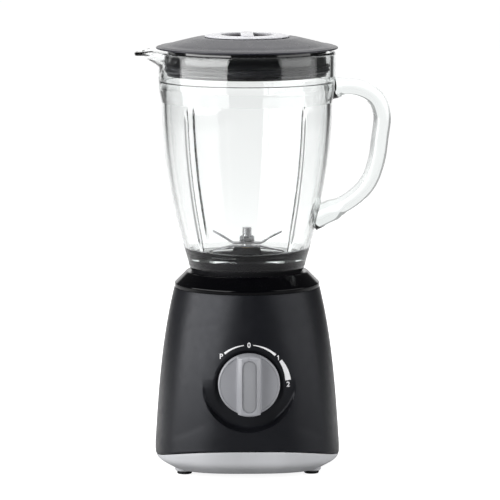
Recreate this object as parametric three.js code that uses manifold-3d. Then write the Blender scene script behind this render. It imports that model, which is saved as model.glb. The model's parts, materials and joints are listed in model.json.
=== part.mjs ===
// Countertop blender: a motor base with a dial, a glass jug with its blade unit, a lid and a filler cap.
// Millimetres, +Z up. Everything is laid out about the motor axis, and the whole is then moved
// so that its origin is on the table under the middle of the object.
import * as THREE from "three";
import { mergeVertices } from "three/addons/utils/BufferGeometryUtils.js";
import Module from "manifold-3d";

// ---------- clearances and facets ----------
const seatGap = 0.3; // between two pieces that touch
const fine = 32; // facets round the big shells, a multiple of 8
const medium = 16; // facets round motor parts
const coarse = 8; // facets round screws and stems

// ---------- base ----------
const coverBottomZ = 4.5; // underside of the bottom cover
const coverTuck = 18.2; // how much narrower the flat underside is than the widest place
const baseWidestZ = 21;
const baseWidestRadius = 80.2;
const baseCornerFullness = 2.3; // exponent of the rounded lower edge, 2 is an ellipse
const baseTopZ = 158.7;
const baseTopRadius = 63.2;
const baseSquareness = 2.9; // superellipse exponent at the bottom, 2 (round) at the top
const shellWall = 2.5;
const seamSideZ = 14; // height of the seam at the sides
const seamRise = 12; // how much higher the seam is at the front and back
const seamGap = 0.6;

// ---------- jug socket ----------
const socketRadius = 50;
const socketFloorZ = 144.5;
const socketFloorThickness = 3;
const socketHoleRadius = 22;
const ringHeight = 13.9;
const ringLipRadius = 53.4;
const sleeveRadius = 48; // inside of the trim ring's sleeve
const keyCount = 4;
const keyWidth = 10;
const keyDepth = 2.8;
const keyHeight = 16;
const collarClearance = 0.5;

// ---------- dial ----------
const dialRadius = 37.4;
const dialSetback = 69; // distance of the dial's flat face from the motor axis
const dialSlope = 3.8; // how much wider the recess is at its mouth
const dialCentreZ = 83.6;
const dialPlateThickness = 2.6;
const knobRadius = 26.5;
const knobSkirtHeight = 6;
const knobGripHeight = 14;
const knobGripWidth = 19.7;
const knobGripTopWidth = 15.5;
const knobRearHollow = 3;
const inlayWidth = 11.4;
const inlayLength = 45;
const inlayDepth = 1.6;
const spindleRadius = 3;
const spindleGrip = 9; // how far the spindle reaches into the knob
const switchSize = 30;
const switchDepth = 18;

// ---------- feet, cover screws, gland ----------
const footInsetX = 7; // of a foot's centre from the edge of the flat underside
const footInsetY = 24;
const footRadius = 6.5;
const footHeight = 2.4;
const footStemRadius = 3;
const footBossRadius = 8.2;
const footBossHeight = 7;
const screwInset = 16.2; // of the cover screws from the widest place, along the diagonal
const screwRadius = 1.9;
const screwHeadRadius = 3.7;
const screwHeadHeight = 2.4;
const screwThreadLength = 14;
const postRadius = 5;
const postTopZ = 78;
const postRibThickness = 3;
const postBottomZ = 21;
const ventCount = 6;
const ventWidth = 4;
const ventInnerRadius = 16;
const ventOuterRadius = 36;
const glandZ = 36;
const glandBoreRadius = 3.4;
const glandNeckRadius = 5.4;
const glandFlangeRadius = 8;
const glandFlangeThickness = 2.2;

// ---------- motor ----------
const shaftRadius = 4;
const fanBottomZ = 12.5;
const fanRadius = 33;
const fanHeight = 10;
const fanDiscThickness = 1.6;
const fanBladeCount = 8;
const bearingRadius = 9;
const bearingHeight = 7;
const bearingCupWall = 2.7;
const bracketThickness = 3;
const lowerBracketZ = 36; // underside of the lower bracket's plate
const commutatorZ = 43;
const commutatorRadius = 11;
const commutatorHeight = 14;
const stackBottomZ = 66;
const stackHeight = 42;
const statorHalfX = 35;
const statorHalfY = 34;
const statorBoreRadius = 23.5;
const airGap = 0.7;
const poleHalfWidth = 19.3;
const windowDepth = 7.7; // coil window, across the pole
const windowHalfX = 26.5;
const coilThickness = 10;
const coilOverhang = 6; // past each end of the stack
const coilClearance = 0.5;
const coilEndGap = 1.4; // between the stack and the ends of the coils
const rotorSlotCount = 12;
const rotorSlotWidth = 3.2;
const rotorHubRadius = 12;
const windingEndRadius = 14.6; // clear of the field coils
const windingOverhang = 5.5;
const boltX = 30.7;
const boltY = 30;
const boltRadius = 2;
const boltHeadRadius = 3.8;
const boltHeadHeight = 2.6;
const upperBracketZ = 118;
const mountX = 40;
const mountY = 18;
const mountRadius = 6;
const mountHeight = 5.4;
const mountPostRadius = 5;
const brushWidth = 6;
const brushHeight = 8;
const brushLength = 12;
const brushHolderLength = 24;
const brushHolderWall = 1.6;
const brushFootLength = 8;
const springWire = 0.8;
const springTurns = 4;

// ---------- couplers ----------
const couplerRadius = 17;
const couplerDiscThickness = 4;
const couplerHubRadius = 9;
const couplerHubHeight = 8;
const dogCount = 3;
const dogHeight = 6;
const dogInnerRadius = 9.5;
const dogAngle = 52; // degrees taken by each dog
const dogBaseZ = 141;

// ---------- jug ----------
const jugFootZ = 173.2; // underside of the glass foot
const jugHeight = 188.8; // glass foot to rim
const jugFootRadius = 51.2;
const jugFootHeight = 6.8;
const jugBellyRadius = 74;
const jugBellyHeight = 146.8; // where the flared wall ends, above the foot
const jugBandRadius = 76.6; // the straight band under the rim
const jugBandHeight = 29;
const jugWall = 4;
const jugFloorThickness = 14.5;
const jugFloorRadius = 46;
const jugHoleRadius = 33;
const neckRadius = 40;
const neckLength = 7.2;
const innerRibDepth = 2.5;
const spoutReach = 21;
const spoutRise = 1.2; // how much higher its tip is than the rim
const spoutHalfAngle = 24;
const spoutDepth = 15.5;
const spoutLip = 2.2; // how much thicker its wall is, upwards
const handleReach = 117.2; // centre line's furthest point from the motor axis
const handleTopHeight = 158.3;
const handleLowHeight = 43;
const handleThickness = 15.6;
const handleWidth = 20;

// ---------- blade unit ----------
const collarLedgeHeight = 12.7;
const collarLedgeThickness = 3;
const collarLedgeBore = 30;
const collarWall = 3;
const holderFlangeThickness = 3;
const gasketThickness = 1.6;
const holderDomeRadius = 32.4;
const holderDomeDrop = 2.5; // its shoulder below the jug's floor
const holderHubRadius = 11;
const holderHubRise = 5.5; // above the jug's floor
const bushWall = 2.7;
const bladeShaftTop = 37.4; // above the glass foot
const bladeReach = 30;
const bladeWidth = 12;
const bladeThickness = 1.5;
const bladeSpacing = 3;
const upperBladeRise = 10;
const lowerBladeDrop = 4;
const nutRadius = 6.5;
const nutHeight = 5;

// ---------- lid and cap ----------
const lidRadius = 79;
const lidEdgeHeight = 2.6;
const lidEdgeUndercut = 3.6; // how far the edge overhangs its own underside
const lidSlope = 16.3; // height the dome would reach at the axis
const lidLandHeight = 8.8; // the flat land round the hole, above the lid's edge
const lidWall = 2.4;
const lidHoleRadius = 31.6;
const lidNeckHeight = 12;
const skirtRadius = 69;
const skirtDepth = 19;
const skirtWall = 2.4;
const skirtFlangeRadius = 77.4;
const skirtFlangeThickness = 1.8;
const sealRadius = 72.2;
const sealHeight = 5;
const sealThickness = 1.2;
const capRadius = 36.7;
const capFlangeThickness = 1.9;
const capCupRadius = 31;
const capCupDepth = 26;
const capWall = 2;
const capGripWidth = 11;
const capGripHeight = 0.8;
const capPitRadius = 23;
const capPitDepth = 8;

// ---------- derived sizes ----------
const coverFootRadius = baseWidestRadius - coverTuck;
const footX = coverFootRadius - footInsetX;
const footY = coverFootRadius - footInsetY;
const screwDiagonal = baseWidestRadius - screwInset;
const stackTopZ = stackBottomZ + stackHeight;
const rimHeight = jugHeight;
const rotorRadius = statorBoreRadius - airGap;
const boreRadius = shaftRadius + seatGap;
const dogTopZ = dogBaseZ + dogHeight;
const collarBottom = socketFloorZ + seatGap - jugFootZ; // in the jug's own frame
const collarRadius = sleeveRadius - collarClearance;
const ledgeTop = collarBottom + collarLedgeHeight + collarLedgeThickness;
const screwX = screwDiagonal * Math.SQRT1_2;
const bladeHubLength = holderHubRadius + 1; // the blades bend outside the hub

// ---------- solids ----------
const wasm = await Module();
wasm.setup();
const X = new THREE.Vector3(1, 0, 0);
const Y = new THREE.Vector3(0, 1, 0);
const Z = new THREE.Vector3(0, 0, 1);
const radians = THREE.MathUtils.degToRad;
const lerp = THREE.MathUtils.lerp;

// A closed three.js geometry as a solid that can be cut and joined.
function solid(geometry) {
  const bare = geometry.clone();
  bare.deleteAttribute("normal");
  bare.deleteAttribute("uv");
  const merged = mergeVertices(bare, 1e-4);
  const p = merged.attributes.position;
  const kept = [];
  let volume = 0;
  for (let i = 0; i < merged.index.count; i += 3) {
    const [a, b, c] = [0, 1, 2].map((k) => merged.index.getX(i + k));
    if (a === b || b === c || c === a) continue;
    const [u, v, w] = [a, b, c].map((k) => new THREE.Vector3().fromBufferAttribute(p, k));
    volume += u.dot(v.cross(w));
    kept.push([a, b, c]);
  }
  if (volume < 0) kept.forEach((t) => t.reverse());
  return new wasm.Manifold(
    new wasm.Mesh({
      numProp: 3,
      vertProperties: new Float32Array(p.array),
      triVerts: new Uint32Array(kept.flat()),
    }),
  );
}

// A solid of revolution about Z: points are [radius, z].
function turned(points, segments = medium, shape = (geometry) => geometry) {
  const profile = points.map(([r, z]) => new THREE.Vector2(r, z));
  return solid(shape(new THREE.LatheGeometry(profile, segments).rotateX(Math.PI / 2)));
}

// The same, for a profile that closes on itself away from the axis.
function ring(points, segments = medium, shape = (geometry) => geometry) {
  return turned([...points, points[0]], segments, shape);
}

function cylinder(radius, z0, z1, segments = medium, x = 0, y = 0, topRadius = radius) {
  const shape = new THREE.CylinderGeometry(topRadius, radius, z1 - z0, segments);
  return solid(shape.rotateX(Math.PI / 2).translate(x, y, (z0 + z1) / 2));
}

function tube(outer, inner, z0, z1, segments = medium, x = 0, y = 0) {
  const margin = 1;
  const hole = cylinder(inner, z0 - margin, z1 + margin, segments, x, y);
  return cylinder(outer, z0, z1, segments, x, y).subtract(hole);
}

// A box from its corners, turned by an angle about Z.
function box([x0, y0, z0], [x1, y1, z1], angle = 0) {
  const shape = new THREE.BoxGeometry(x1 - x0, y1 - y0, z1 - z0);
  shape.translate((x0 + x1) / 2, (y0 + y1) / 2, (z0 + z1) / 2);
  return solid(shape.rotateZ(angle));
}

function prism(shape, z0, z1, curveSegments = medium) {
  const options = { depth: z1 - z0, bevelEnabled: false, curveSegments };
  return new THREE.ExtrudeGeometry(shape, options).translate(0, 0, z0);
}

// A shape drawn in (y, z), pulled along X from x0 to x1.
function prismX(shape, x0, x1) {
  return solid(prism(shape, x0, x1).applyMatrix4(new THREE.Matrix4().makeBasis(Y, Z, X)));
}

// A shape drawn in (x, z), pulled along Y from -half to half.
function prismY(shape, half) {
  const basis = new THREE.Matrix4().makeBasis(X, Z, Y.clone().negate());
  return solid(prism(shape, -half, half).applyMatrix4(basis));
}

function polygon(points) {
  return new THREE.Shape(points.map(([u, v]) => new THREE.Vector2(u, v)));
}

function stadium(halfWidth, halfLength) {
  const shape = new THREE.Shape();
  const straight = halfLength - halfWidth;
  shape.absarc(0, straight, halfWidth, 0, Math.PI);
  shape.absarc(0, -straight, halfWidth, Math.PI, 2 * Math.PI);
  return shape;
}

function joined(first, ...others) {
  return others.reduce((sum, next) => sum.add(next), first);
}

function cut(body, ...tools) {
  return tools.reduce((left, tool) => left.subtract(tool), body);
}

function around(count, make) {
  return Array.from({ length: count }, (_, i) => make((i / count) * 2 * Math.PI, i));
}

const corners = [
  ["front_left", -1, -1],
  ["front_right", 1, -1],
  ["rear_left", -1, 1],
  ["rear_right", 1, 1],
];

// ---------- materials ----------
const finishes = {
  charcoal: [0x232428, 0.42, 0],
  gloss_black: [0x0a0a0c, 0.08, 0],
  silver: [0xb2b3b6, 0.38, 0.1],
  knob_grey: [0xa6a8ad, 0.32, 0.1],
  inlay_grey: [0x8f9195, 0.5, 0],
  rubber: [0x161617, 0.85, 0],
  lid_grey: [0x3c3d42, 0.45, 0],
  seal: [0x55575c, 0.6, 0],
  black: [0x1b1b1d, 0.5, 0],
  frosted: [0xf2f3f5, 0.25, 0],
  steel: [0xc4c6c8, 0.3, 1],
  bright_steel: [0xdadbdd, 0.18, 1],
  lamination: [0x6d6f72, 0.5, 0.9],
  copper: [0xb5622f, 0.35, 0.9],
  brass: [0xc9a24b, 0.3, 1],
  carbon: [0x26262a, 0.7, 0.1],
};
const materials = Object.fromEntries(
  Object.entries(finishes).map(([name, [color, roughness, metalness]]) => [
    name,
    new THREE.MeshStandardMaterial({ color, roughness, metalness }),
  ]),
);
materials.glass = new THREE.MeshStandardMaterial({
  color: 0xf4f7f7,
  roughness: 0.04,
  transparent: true,
  opacity: 0.35,
});

// A named mesh made from a solid.
function piece(name, body, material) {
  const mesh = body.getMesh();
  const geometry = new THREE.BufferGeometry();
  geometry.setAttribute("position", new THREE.BufferAttribute(mesh.vertProperties, 3));
  geometry.setIndex(new THREE.BufferAttribute(mesh.triVerts, 1));
  geometry.computeVertexNormals();
  const made = new THREE.Mesh(geometry, materials[material]);
  made.name = name;
  return made;
}

// ---------- base shells ----------
// The base is round at the top and a soft square at the bottom.
function squarePlan(geometry) {
  const p = geometry.attributes.position;
  for (let i = 0; i < p.count; i++) {
    const rise = (p.getZ(i) - baseWidestZ) / (baseTopZ - baseWidestZ);
    const n = lerp(baseSquareness, 2, THREE.MathUtils.clamp(rise, 0, 1));
    const angle = Math.atan2(p.getY(i), p.getX(i));
    const reach = (Math.abs(Math.cos(angle)) ** n + Math.abs(Math.sin(angle)) ** n) ** (1 / n);
    p.setXY(i, p.getX(i) / reach, p.getY(i) / reach);
  }
  return geometry;
}

// Half-width of the base on its flared flank.
function flankRadius(z) {
  const rise = (z - baseWidestZ) / (baseTopZ - baseWidestZ);
  return baseWidestRadius - ((baseWidestRadius - baseTopRadius) * (rise + rise ** 3)) / 2;
}

// The outline of the base from the axis up to its top, set in by a wall.
function baseOutline(inset) {
  const bowlSteps = 3;
  const flankSteps = 4;
  const points = [[0, coverBottomZ + inset]];
  for (let i = 0; i < bowlSteps; i++) {
    const turn = ((i / bowlSteps) * Math.PI) / 2;
    const [out, down] = [Math.sin(turn), Math.cos(turn)].map((v) => v ** (2 / baseCornerFullness));
    points.push([
      coverFootRadius + (baseWidestRadius - coverFootRadius - inset) * out,
      baseWidestZ - (baseWidestZ - coverBottomZ - inset) * down,
    ]);
  }
  for (let i = 0; i <= flankSteps; i++) {
    const z = lerp(baseWidestZ, baseTopZ - inset, i / flankSteps);
    points.push([flankRadius(z) - inset, z]);
  }
  points.push([0, baseTopZ - inset]);
  return points;
}

function baseSolid(inset) {
  return turned(baseOutline(inset), fine, squarePlan);
}

// Everything under the seam, which is lowest at the sides.
function underSeam(offset) {
  const reach = baseWidestRadius * 1.2;
  const steps = 12;
  const points = [[reach, -reach], [-reach, -reach]];
  for (let i = 0; i <= steps; i++) {
    const y = lerp(-reach, reach, i / steps);
    points.push([y, seamSideZ + offset + seamRise * (y / baseWidestRadius) ** 2]);
  }
  return prismX(polygon(points.reverse()), -reach, reach);
}

function screwPosts(outer) {
  return corners.map(([, sx, sy]) => {
    const angle = Math.atan2(sy, sx);
    const post = cylinder(postRadius, postBottomZ, postTopZ, coarse, sx * screwX, sy * screwX);
    const half = postRibThickness / 2;
    const ribReach = baseWidestRadius * 1.2;
    const rib = box([screwDiagonal, -half, postBottomZ + postRadius], [ribReach, half, postTopZ], angle);
    return joined(post, rib).intersect(outer);
  });
}

function mountPosts() {
  const bottom = upperBracketZ + bracketThickness + mountHeight + 2 * seatGap;
  return corners.map(([, sx, sy]) =>
    cylinder(mountPostRadius, bottom, socketFloorZ - 1, coarse, sx * mountX, sy * mountY));
}

// A cylinder along -Y from the motor axis side towards the front.
function frontCylinder(radius, y0, y1, z, segments = fine, frontRadius = radius) {
  const shape = new THREE.CylinderGeometry(radius, frontRadius, Math.abs(y1 - y0), segments);
  return solid(shape.translate(0, (y0 + y1) / 2, z));
}

function housing() {
  const outer = baseSolid(0);
  const socketBottom = socketFloorZ - socketFloorThickness;
  const cup = cylinder(socketRadius + shellWall, socketBottom, baseTopZ, fine);
  const padRadius = dialRadius + dialSlope + shellWall;
  const padBack = dialPlateThickness - dialSetback;
  const pad = frontCylinder(padRadius, padBack, -dialSetback - dialRadius, dialCentreZ);
  const shell = joined(
    outer.subtract(baseSolid(shellWall)), cup, pad.intersect(outer), ...screwPosts(outer), ...mountPosts());
  const screwHoles = corners.flatMap(([, sx, sy]) => [
    cylinder(screwRadius + seatGap, 0, postBottomZ + screwThreadLength + 1, coarse, sx * screwX, sy * screwX),
    cylinder(boltRadius + seatGap, upperBracketZ, socketBottom - 1, coarse, sx * mountX, sy * mountY),
  ]);
  const mouth = baseWidestRadius * 0.2;
  const mouthRadius = dialRadius + (dialSlope * mouth) / (baseWidestRadius - dialSetback);
  return cut(
    shell,
    underSeam(seamGap / 2),
    cylinder(socketRadius, socketFloorZ, baseTopZ + 1, fine),
    cylinder(socketHoleRadius, 0, baseTopZ, medium),
    frontCylinder(dialRadius, -dialSetback, -dialSetback - mouth, dialCentreZ, fine, mouthRadius),
    frontCylinder(spindleRadius + 2 * seatGap, 0, -dialSetback * 1.2, dialCentreZ, coarse),
    frontCylinder(glandNeckRadius + seatGap, baseWidestRadius * 0.8, baseWidestRadius * 1.2, glandZ, medium),
    ...screwHoles,
  );
}

function bottomCover() {
  const outer = baseSolid(0);
  const bossTop = coverBottomZ - 1.8 + footBossHeight;
  const feet = corners.map(([, sx, sy]) =>
    cylinder(footBossRadius, footHeight + seatGap, bossTop, medium, sx * footX, sy * footY));
  const posts = corners.map(([, sx, sy]) =>
    cylinder(postRadius, coverBottomZ + 1, postBottomZ - seatGap, coarse, sx * screwX, sy * screwX));
  const bowl = outer.subtract(baseSolid(shellWall)).intersect(underSeam(-seamGap / 2));
  const holes = corners.flatMap(([, sx, sy]) => [
    cylinder(footStemRadius + seatGap, 0, bossTop + 1, coarse, sx * footX, sy * footY),
    cylinder(screwRadius + seatGap, 0, postBottomZ, coarse, sx * screwX, sy * screwX),
    cylinder(screwHeadRadius + seatGap, 0, screwSeatZ(), coarse, sx * screwX, sy * screwX),
  ]);
  const vents = around(ventCount, (angle) =>
    box([ventInnerRadius, -ventWidth / 2, 0],
      [ventOuterRadius, ventWidth / 2, coverBottomZ + 2 * shellWall], angle));
  return cut(joined(bowl, ...feet, ...posts), ...holes, ...vents);
}

// Level of the shoulder under which a cover screw's head sits.
function screwSeatZ() {
  return coverBottomZ + shellWall + screwHeadHeight;
}

function topRing() {
  const lipTop = baseTopZ + ringHeight;
  const sleeveOuter = socketRadius - seatGap;
  const shoulder = 3.5;
  const bottom = baseTopZ + seatGap;
  const slope = lipTop - 0.5 - (bottom + shoulder);
  const skin = ring([
    [baseTopRadius, bottom],
    [baseTopRadius, bottom + shoulder / 2],
    [ringLipRadius + slope, bottom + shoulder],
    [ringLipRadius, lipTop - 0.5],
    [ringLipRadius - 1, lipTop],
    [sleeveRadius, lipTop],
    [sleeveRadius, socketFloorZ + seatGap],
    [sleeveOuter, socketFloorZ + seatGap],
    [sleeveOuter, lipTop - shellWall],
    [ringLipRadius + slope - shellWall, bottom + shoulder],
    [baseTopRadius - shellWall, bottom],
  ], fine);
  const keys = around(keyCount, (angle) =>
    box([sleeveRadius - keyDepth, -keyWidth / 2, socketFloorZ + seatGap],
      [(sleeveRadius + sleeveOuter) / 2, keyWidth / 2, socketFloorZ + keyHeight], angle + Math.PI / 4));
  return joined(skin, ...keys);
}

function foot() {
  const stemTop = footHeight + footBossHeight;
  return joined(cylinder(footRadius, 0, footHeight, medium, 0, 0, footRadius * 0.94),
    cylinder(footStemRadius, footHeight / 2, stemTop, coarse));
}

// A screw standing on its head, head underside at z = 0 and thread upwards.
function screw(radius, headRadius, headHeight, length) {
  return joined(
    cylinder(headRadius, -headHeight, 0, coarse),
    cylinder(radius, -headHeight / 2, length, coarse));
}

function cordGland() {
  const back = baseWidestRadius + seatGap;
  const wallInside = flankRadius(glandZ + glandFlangeRadius) - shellWall - seatGap - 1;
  const body = joined(
    frontCylinder(glandFlangeRadius, back, back + glandFlangeThickness, 0, medium),
    frontCylinder(glandNeckRadius, wallInside - glandFlangeThickness, back + glandFlangeThickness, 0, medium),
    frontCylinder(glandFlangeRadius, wallInside - glandFlangeThickness, wallInside, 0, medium),
  );
  return body.subtract(frontCylinder(glandBoreRadius, 0, back * 2, 0, medium));
}

// ---------- dial ----------
// In the dial's own frame +Z points out of the front and +Y points up.
function knob() {
  const top = knobSkirtHeight + knobGripHeight;
  const skirt = turned([
    [0, seatGap], [knobRadius - 0.6, seatGap], [knobRadius, seatGap + 0.6],
    [knobRadius, knobSkirtHeight - 1], [knobRadius - 1, knobSkirtHeight], [0, knobSkirtHeight],
  ], fine);
  const half = knobGripWidth / 2;
  const topHalf = knobGripTopWidth / 2;
  const flank = polygon([
    [-half, knobSkirtHeight / 2], [half, knobSkirtHeight / 2], [half, knobSkirtHeight],
    [topHalf, top], [-topHalf, top], [-half, knobSkirtHeight],
  ]);
  const grip = prismY(flank, knobRadius).intersect(cylinder(knobRadius - 0.4, 0, top + 1, fine));
  return cut(
    joined(skirt, grip),
    solid(prism(stadium(inlayWidth / 2, inlayLength / 2), top - inlayDepth, top + 1, coarse)),
    cylinder(spindleRadius + seatGap, -1, spindleGrip + seatGap, coarse),
    cylinder(knobRadius - 3, -1, seatGap + knobRearHollow, medium).subtract(
      cylinder(spindleRadius + 3, -1, knobSkirtHeight, medium)),
  );
}

function knobInlay() {
  const floor = knobSkirtHeight + knobGripHeight - inlayDepth + seatGap;
  const shape = stadium(inlayWidth / 2 - seatGap, inlayLength / 2 - seatGap);
  return solid(prism(shape, floor, floor + inlayDepth / 2, coarse));
}

function switchSpindle() {
  const length = dialPlateThickness + seatGap + spindleGrip;
  return cylinder(spindleRadius, -length + spindleGrip - switchDepth * 0.6, spindleGrip, coarse);
}

function rotarySwitch() {
  const face = -dialPlateThickness - seatGap;
  const half = switchSize / 2;
  const body = box([-half, -half, face - switchDepth], [half, half, face]);
  const terminals = [-1, 0, 1].map((side) =>
    box([side * 9 - 3, -0.4, face - switchDepth - 7], [side * 9 + 3, 0.4, face - switchDepth + 1]));
  const socket = cylinder(spindleRadius + seatGap, face - switchDepth * 0.7, 0, coarse);
  return cut(joined(body, ...terminals), socket);
}

// ---------- motor, fixed parts ----------
function statorCore() {
  const bolts = [1, -1].map((side) =>
    cylinder(boltRadius + seatGap, 0, upperBracketZ, coarse, side * boltX, side * boltY));
  const windows = [1, -1].map((side) =>
    box([-windowHalfX, side > 0 ? poleHalfWidth : -poleHalfWidth - windowDepth, 0],
      [windowHalfX, side > 0 ? poleHalfWidth + windowDepth : -poleHalfWidth, upperBracketZ]));
  return cut(
    box([-statorHalfX, -statorHalfY, stackBottomZ], [statorHalfX, statorHalfY, stackTopZ]),
    cylinder(statorBoreRadius, 0, upperBracketZ, fine), ...windows, ...bolts);
}

// A coil round the pole on one side of the motor axis.
function fieldCoil(side) {
  const innerY = poleHalfWidth + coilClearance;
  const outerY = poleHalfWidth + windowDepth - coilClearance;
  const near = windowHalfX - coilClearance - coilThickness;
  const far = windowHalfX - coilClearance;
  const [x0, x1] = side > 0 ? [near, far] : [-far, -near];
  return cut(
    box([x0, -outerY, stackBottomZ - coilOverhang], [x1, outerY, stackTopZ + coilOverhang]),
    box([x0 - 1, -innerY, stackBottomZ - coilEndGap], [x1 + 1, innerY, stackTopZ + coilEndGap]));
}

function boltLegs(z0, z1) {
  return [1, -1].map((side) =>
    cylinder(boltRadius + 3, z0, z1, coarse, side * boltX, side * boltY));
}

function boltHoles() {
  return [1, -1].map((side) =>
    cylinder(boltRadius + seatGap, 0, baseTopZ, coarse, side * boltX, side * boltY));
}

function diagonalArm(z0, z1) {
  const reach = Math.hypot(boltX, boltY);
  return box([-reach, -6, z0], [reach, 6, z1], Math.atan2(boltY, boltX));
}

function lowerBracket() {
  const top = lowerBracketZ + bracketThickness;
  const cupRadius = bearingRadius + seatGap + bearingCupWall;
  const armY = brushTail();
  const cup = cylinder(cupRadius, lowerBearingZ(), top, medium);
  const plate = joined(
    cup, diagonalArm(lowerBracketZ, top),
    box([-6, -armY, lowerBracketZ], [6, armY, top]),
    ...boltLegs(lowerBracketZ, stackBottomZ - seatGap));
  return cut(
    plate, ...boltHoles(),
    cylinder(bearingRadius + seatGap, 0, lowerBearingZ() + bearingHeight + seatGap, medium),
    cylinder(shaftRadius + 1.5, 0, top + 1, medium));
}

function lowerBearingZ() {
  return lowerBracketZ + bracketThickness - 2 - seatGap - bearingHeight;
}

function upperBracket() {
  const top = upperBracketZ + bracketThickness;
  const cupRadius = bearingRadius + seatGap + bearingCupWall;
  const ear = mountRadius + 1;
  const plate = joined(
    cylinder(cupRadius, upperBracketZ - 2, upperBearingZ() + bearingHeight, medium),
    diagonalArm(upperBracketZ, top),
    box([-mountX - ear, -mountY - ear, upperBracketZ], [mountX + ear, mountY + ear, top]),
    ...boltLegs(stackTopZ + seatGap, top));
  const mountHoles = corners.map(([, sx, sy]) =>
    cylinder(boltRadius + seatGap, 0, baseTopZ, coarse, sx * mountX, sy * mountY));
  return cut(
    plate, ...boltHoles(), ...mountHoles,
    cylinder(bearingRadius + seatGap, upperBearingZ() - seatGap, baseTopZ, medium),
    cylinder(shaftRadius + 1.5, 0, baseTopZ, medium));
}

function upperBearingZ() {
  return upperBracketZ + seatGap;
}

function bearing(bottom) {
  return tube(bearingRadius, boreRadius, bottom, bottom + bearingHeight);
}

// How far a brush holder reaches from the motor axis.
function brushTail() {
  return commutatorRadius + 2 + brushHolderLength;
}

const brushZ = commutatorZ + commutatorHeight / 2;

// The brush gear is drawn on the rear side of the motor.
function brushHolder() {
  const halfX = brushWidth / 2 + seatGap + brushHolderWall;
  const halfZ = brushHeight / 2 + seatGap + brushHolderWall;
  const tail = brushTail();
  const front = commutatorRadius + 2;
  const sleeve = box([-halfX, front, brushZ - halfZ], [halfX, tail, brushZ + halfZ]);
  const leg = box([-halfX, tail - brushFootLength, lowerBracketZ + bracketThickness + seatGap],
    [halfX, tail, brushZ - halfZ + 1]);
  const bore = box([-brushWidth / 2 - seatGap, front - 1, brushZ - brushHeight / 2 - seatGap],
    [brushWidth / 2 + seatGap, tail - brushHolderWall, brushZ + brushHeight / 2 + seatGap]);
  return cut(joined(sleeve, leg), bore);
}

function carbonBrush() {
  const front = commutatorRadius + seatGap;
  return box([-brushWidth / 2, front, brushZ - brushHeight / 2],
    [brushWidth / 2, front + brushLength, brushZ + brushHeight / 2]);
}

function brushSpring() {
  const front = commutatorRadius + 2 * seatGap + brushLength + springWire;
  const back = brushTail() - brushHolderWall - seatGap - springWire;
  const radius = brushWidth / 2 - springWire;
  const steps = springTurns * 6;
  const points = Array.from({ length: steps + 1 }, (_, i) => {
    const turn = (i / 6) * 2 * Math.PI;
    const y = lerp(front, back, i / steps);
    return new THREE.Vector3(radius * Math.cos(turn), y, brushZ + radius * Math.sin(turn));
  });
  const wire = new THREE.Shape().absarc(0, 0, springWire / 2, 0, 2 * Math.PI);
  const helix = new THREE.ExtrudeGeometry(wire, {
    steps, curveSegments: 2, extrudePath: new THREE.CatmullRomCurve3(points),
  });
  return solid(helix);
}

// ---------- motor, turning parts ----------
function motorShaft() {
  return cylinder(shaftRadius, fanBottomZ + 1, dogBaseZ - 2, medium);
}

function rotorCore() {
  const slots = around(rotorSlotCount, (angle) =>
    box([rotorHubRadius, -rotorSlotWidth / 2, 0],
      [rotorRadius + 1, rotorSlotWidth / 2, upperBracketZ], angle));
  return cut(cylinder(rotorRadius, stackBottomZ, stackTopZ, fine), ...slots,
    cylinder(boreRadius, 0, upperBracketZ, medium));
}

function rotorWinding() {
  const half = rotorSlotWidth / 2 - seatGap;
  const overlap = coilEndGap - 2 * seatGap; // of the bars with the end windings
  const bars = around(rotorSlotCount, (angle) =>
    box([rotorHubRadius + seatGap, -half, stackBottomZ - overlap],
      [rotorRadius - 2, half, stackTopZ + overlap], angle));
  const inner = boreRadius + 3;
  const ends = [
    tube(windingEndRadius, inner, stackBottomZ - windingOverhang, stackBottomZ - seatGap, coarse),
    tube(windingEndRadius, inner, stackTopZ + seatGap, stackTopZ + windingOverhang, coarse),
  ];
  return joined(...ends, ...bars);
}

function commutator() {
  return tube(commutatorRadius, boreRadius, commutatorZ, commutatorZ + commutatorHeight, medium);
}

function coolingFan() {
  const top = fanBottomZ + fanHeight;
  const blades = around(fanBladeCount, (angle) =>
    box([shaftRadius + 2, -0.8, fanBottomZ], [fanRadius, 0.8, top - 0.5], angle + 0.2));
  const disc = cylinder(fanRadius, top - fanDiscThickness, top, medium);
  const hub = cylinder(shaftRadius + 4, fanBottomZ, lowerBearingZ() - 2 * seatGap, medium);
  return cut(joined(disc, hub, ...blades), cylinder(boreRadius, 0, lowerBearingZ(), medium));
}

// One dog, a sector of the coupler between two heights.
function dog(index, offset, z0, z1) {
  const start = radians((index * 360) / dogCount + offset - dogAngle / 2);
  const end = start + radians(dogAngle);
  const shape = new THREE.Shape();
  shape.absarc(0, 0, couplerRadius, start, end, false);
  shape.absarc(0, 0, dogInnerRadius, end, start, true);
  return solid(prism(shape, z0, z1, 5));
}

function dogs(offset, z0, z1) {
  return Array.from({ length: dogCount }, (_, i) => dog(i, offset, z0, z1));
}

function driveCoupler() {
  const discBottom = dogBaseZ - couplerDiscThickness;
  const hubBottom = discBottom - couplerHubHeight;
  const body = joined(
    cylinder(couplerRadius, discBottom, dogBaseZ, medium),
    cylinder(couplerHubRadius, hubBottom, dogBaseZ, medium),
    ...dogs(0, dogBaseZ - 1, dogTopZ));
  return body.subtract(cylinder(boreRadius, 0, dogBaseZ - 2 + seatGap, medium));
}

// ---------- jug ----------
// In the jug's own frame z = 0 is the underside of the glass foot.
function jugRadius(height) {
  const rise = THREE.MathUtils.clamp((height - jugFootHeight) / (jugBellyHeight - jugFootHeight), 0, 1);
  return jugFootRadius + (jugBellyRadius - jugFootRadius) * (1 - (1 - rise) ** 1.85);
}

function wallLevels(bottom) {
  const steps = 6;
  return Array.from({ length: steps + 1 }, (_, i) => lerp(bottom, jugBellyHeight, i / steps));
}

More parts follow.
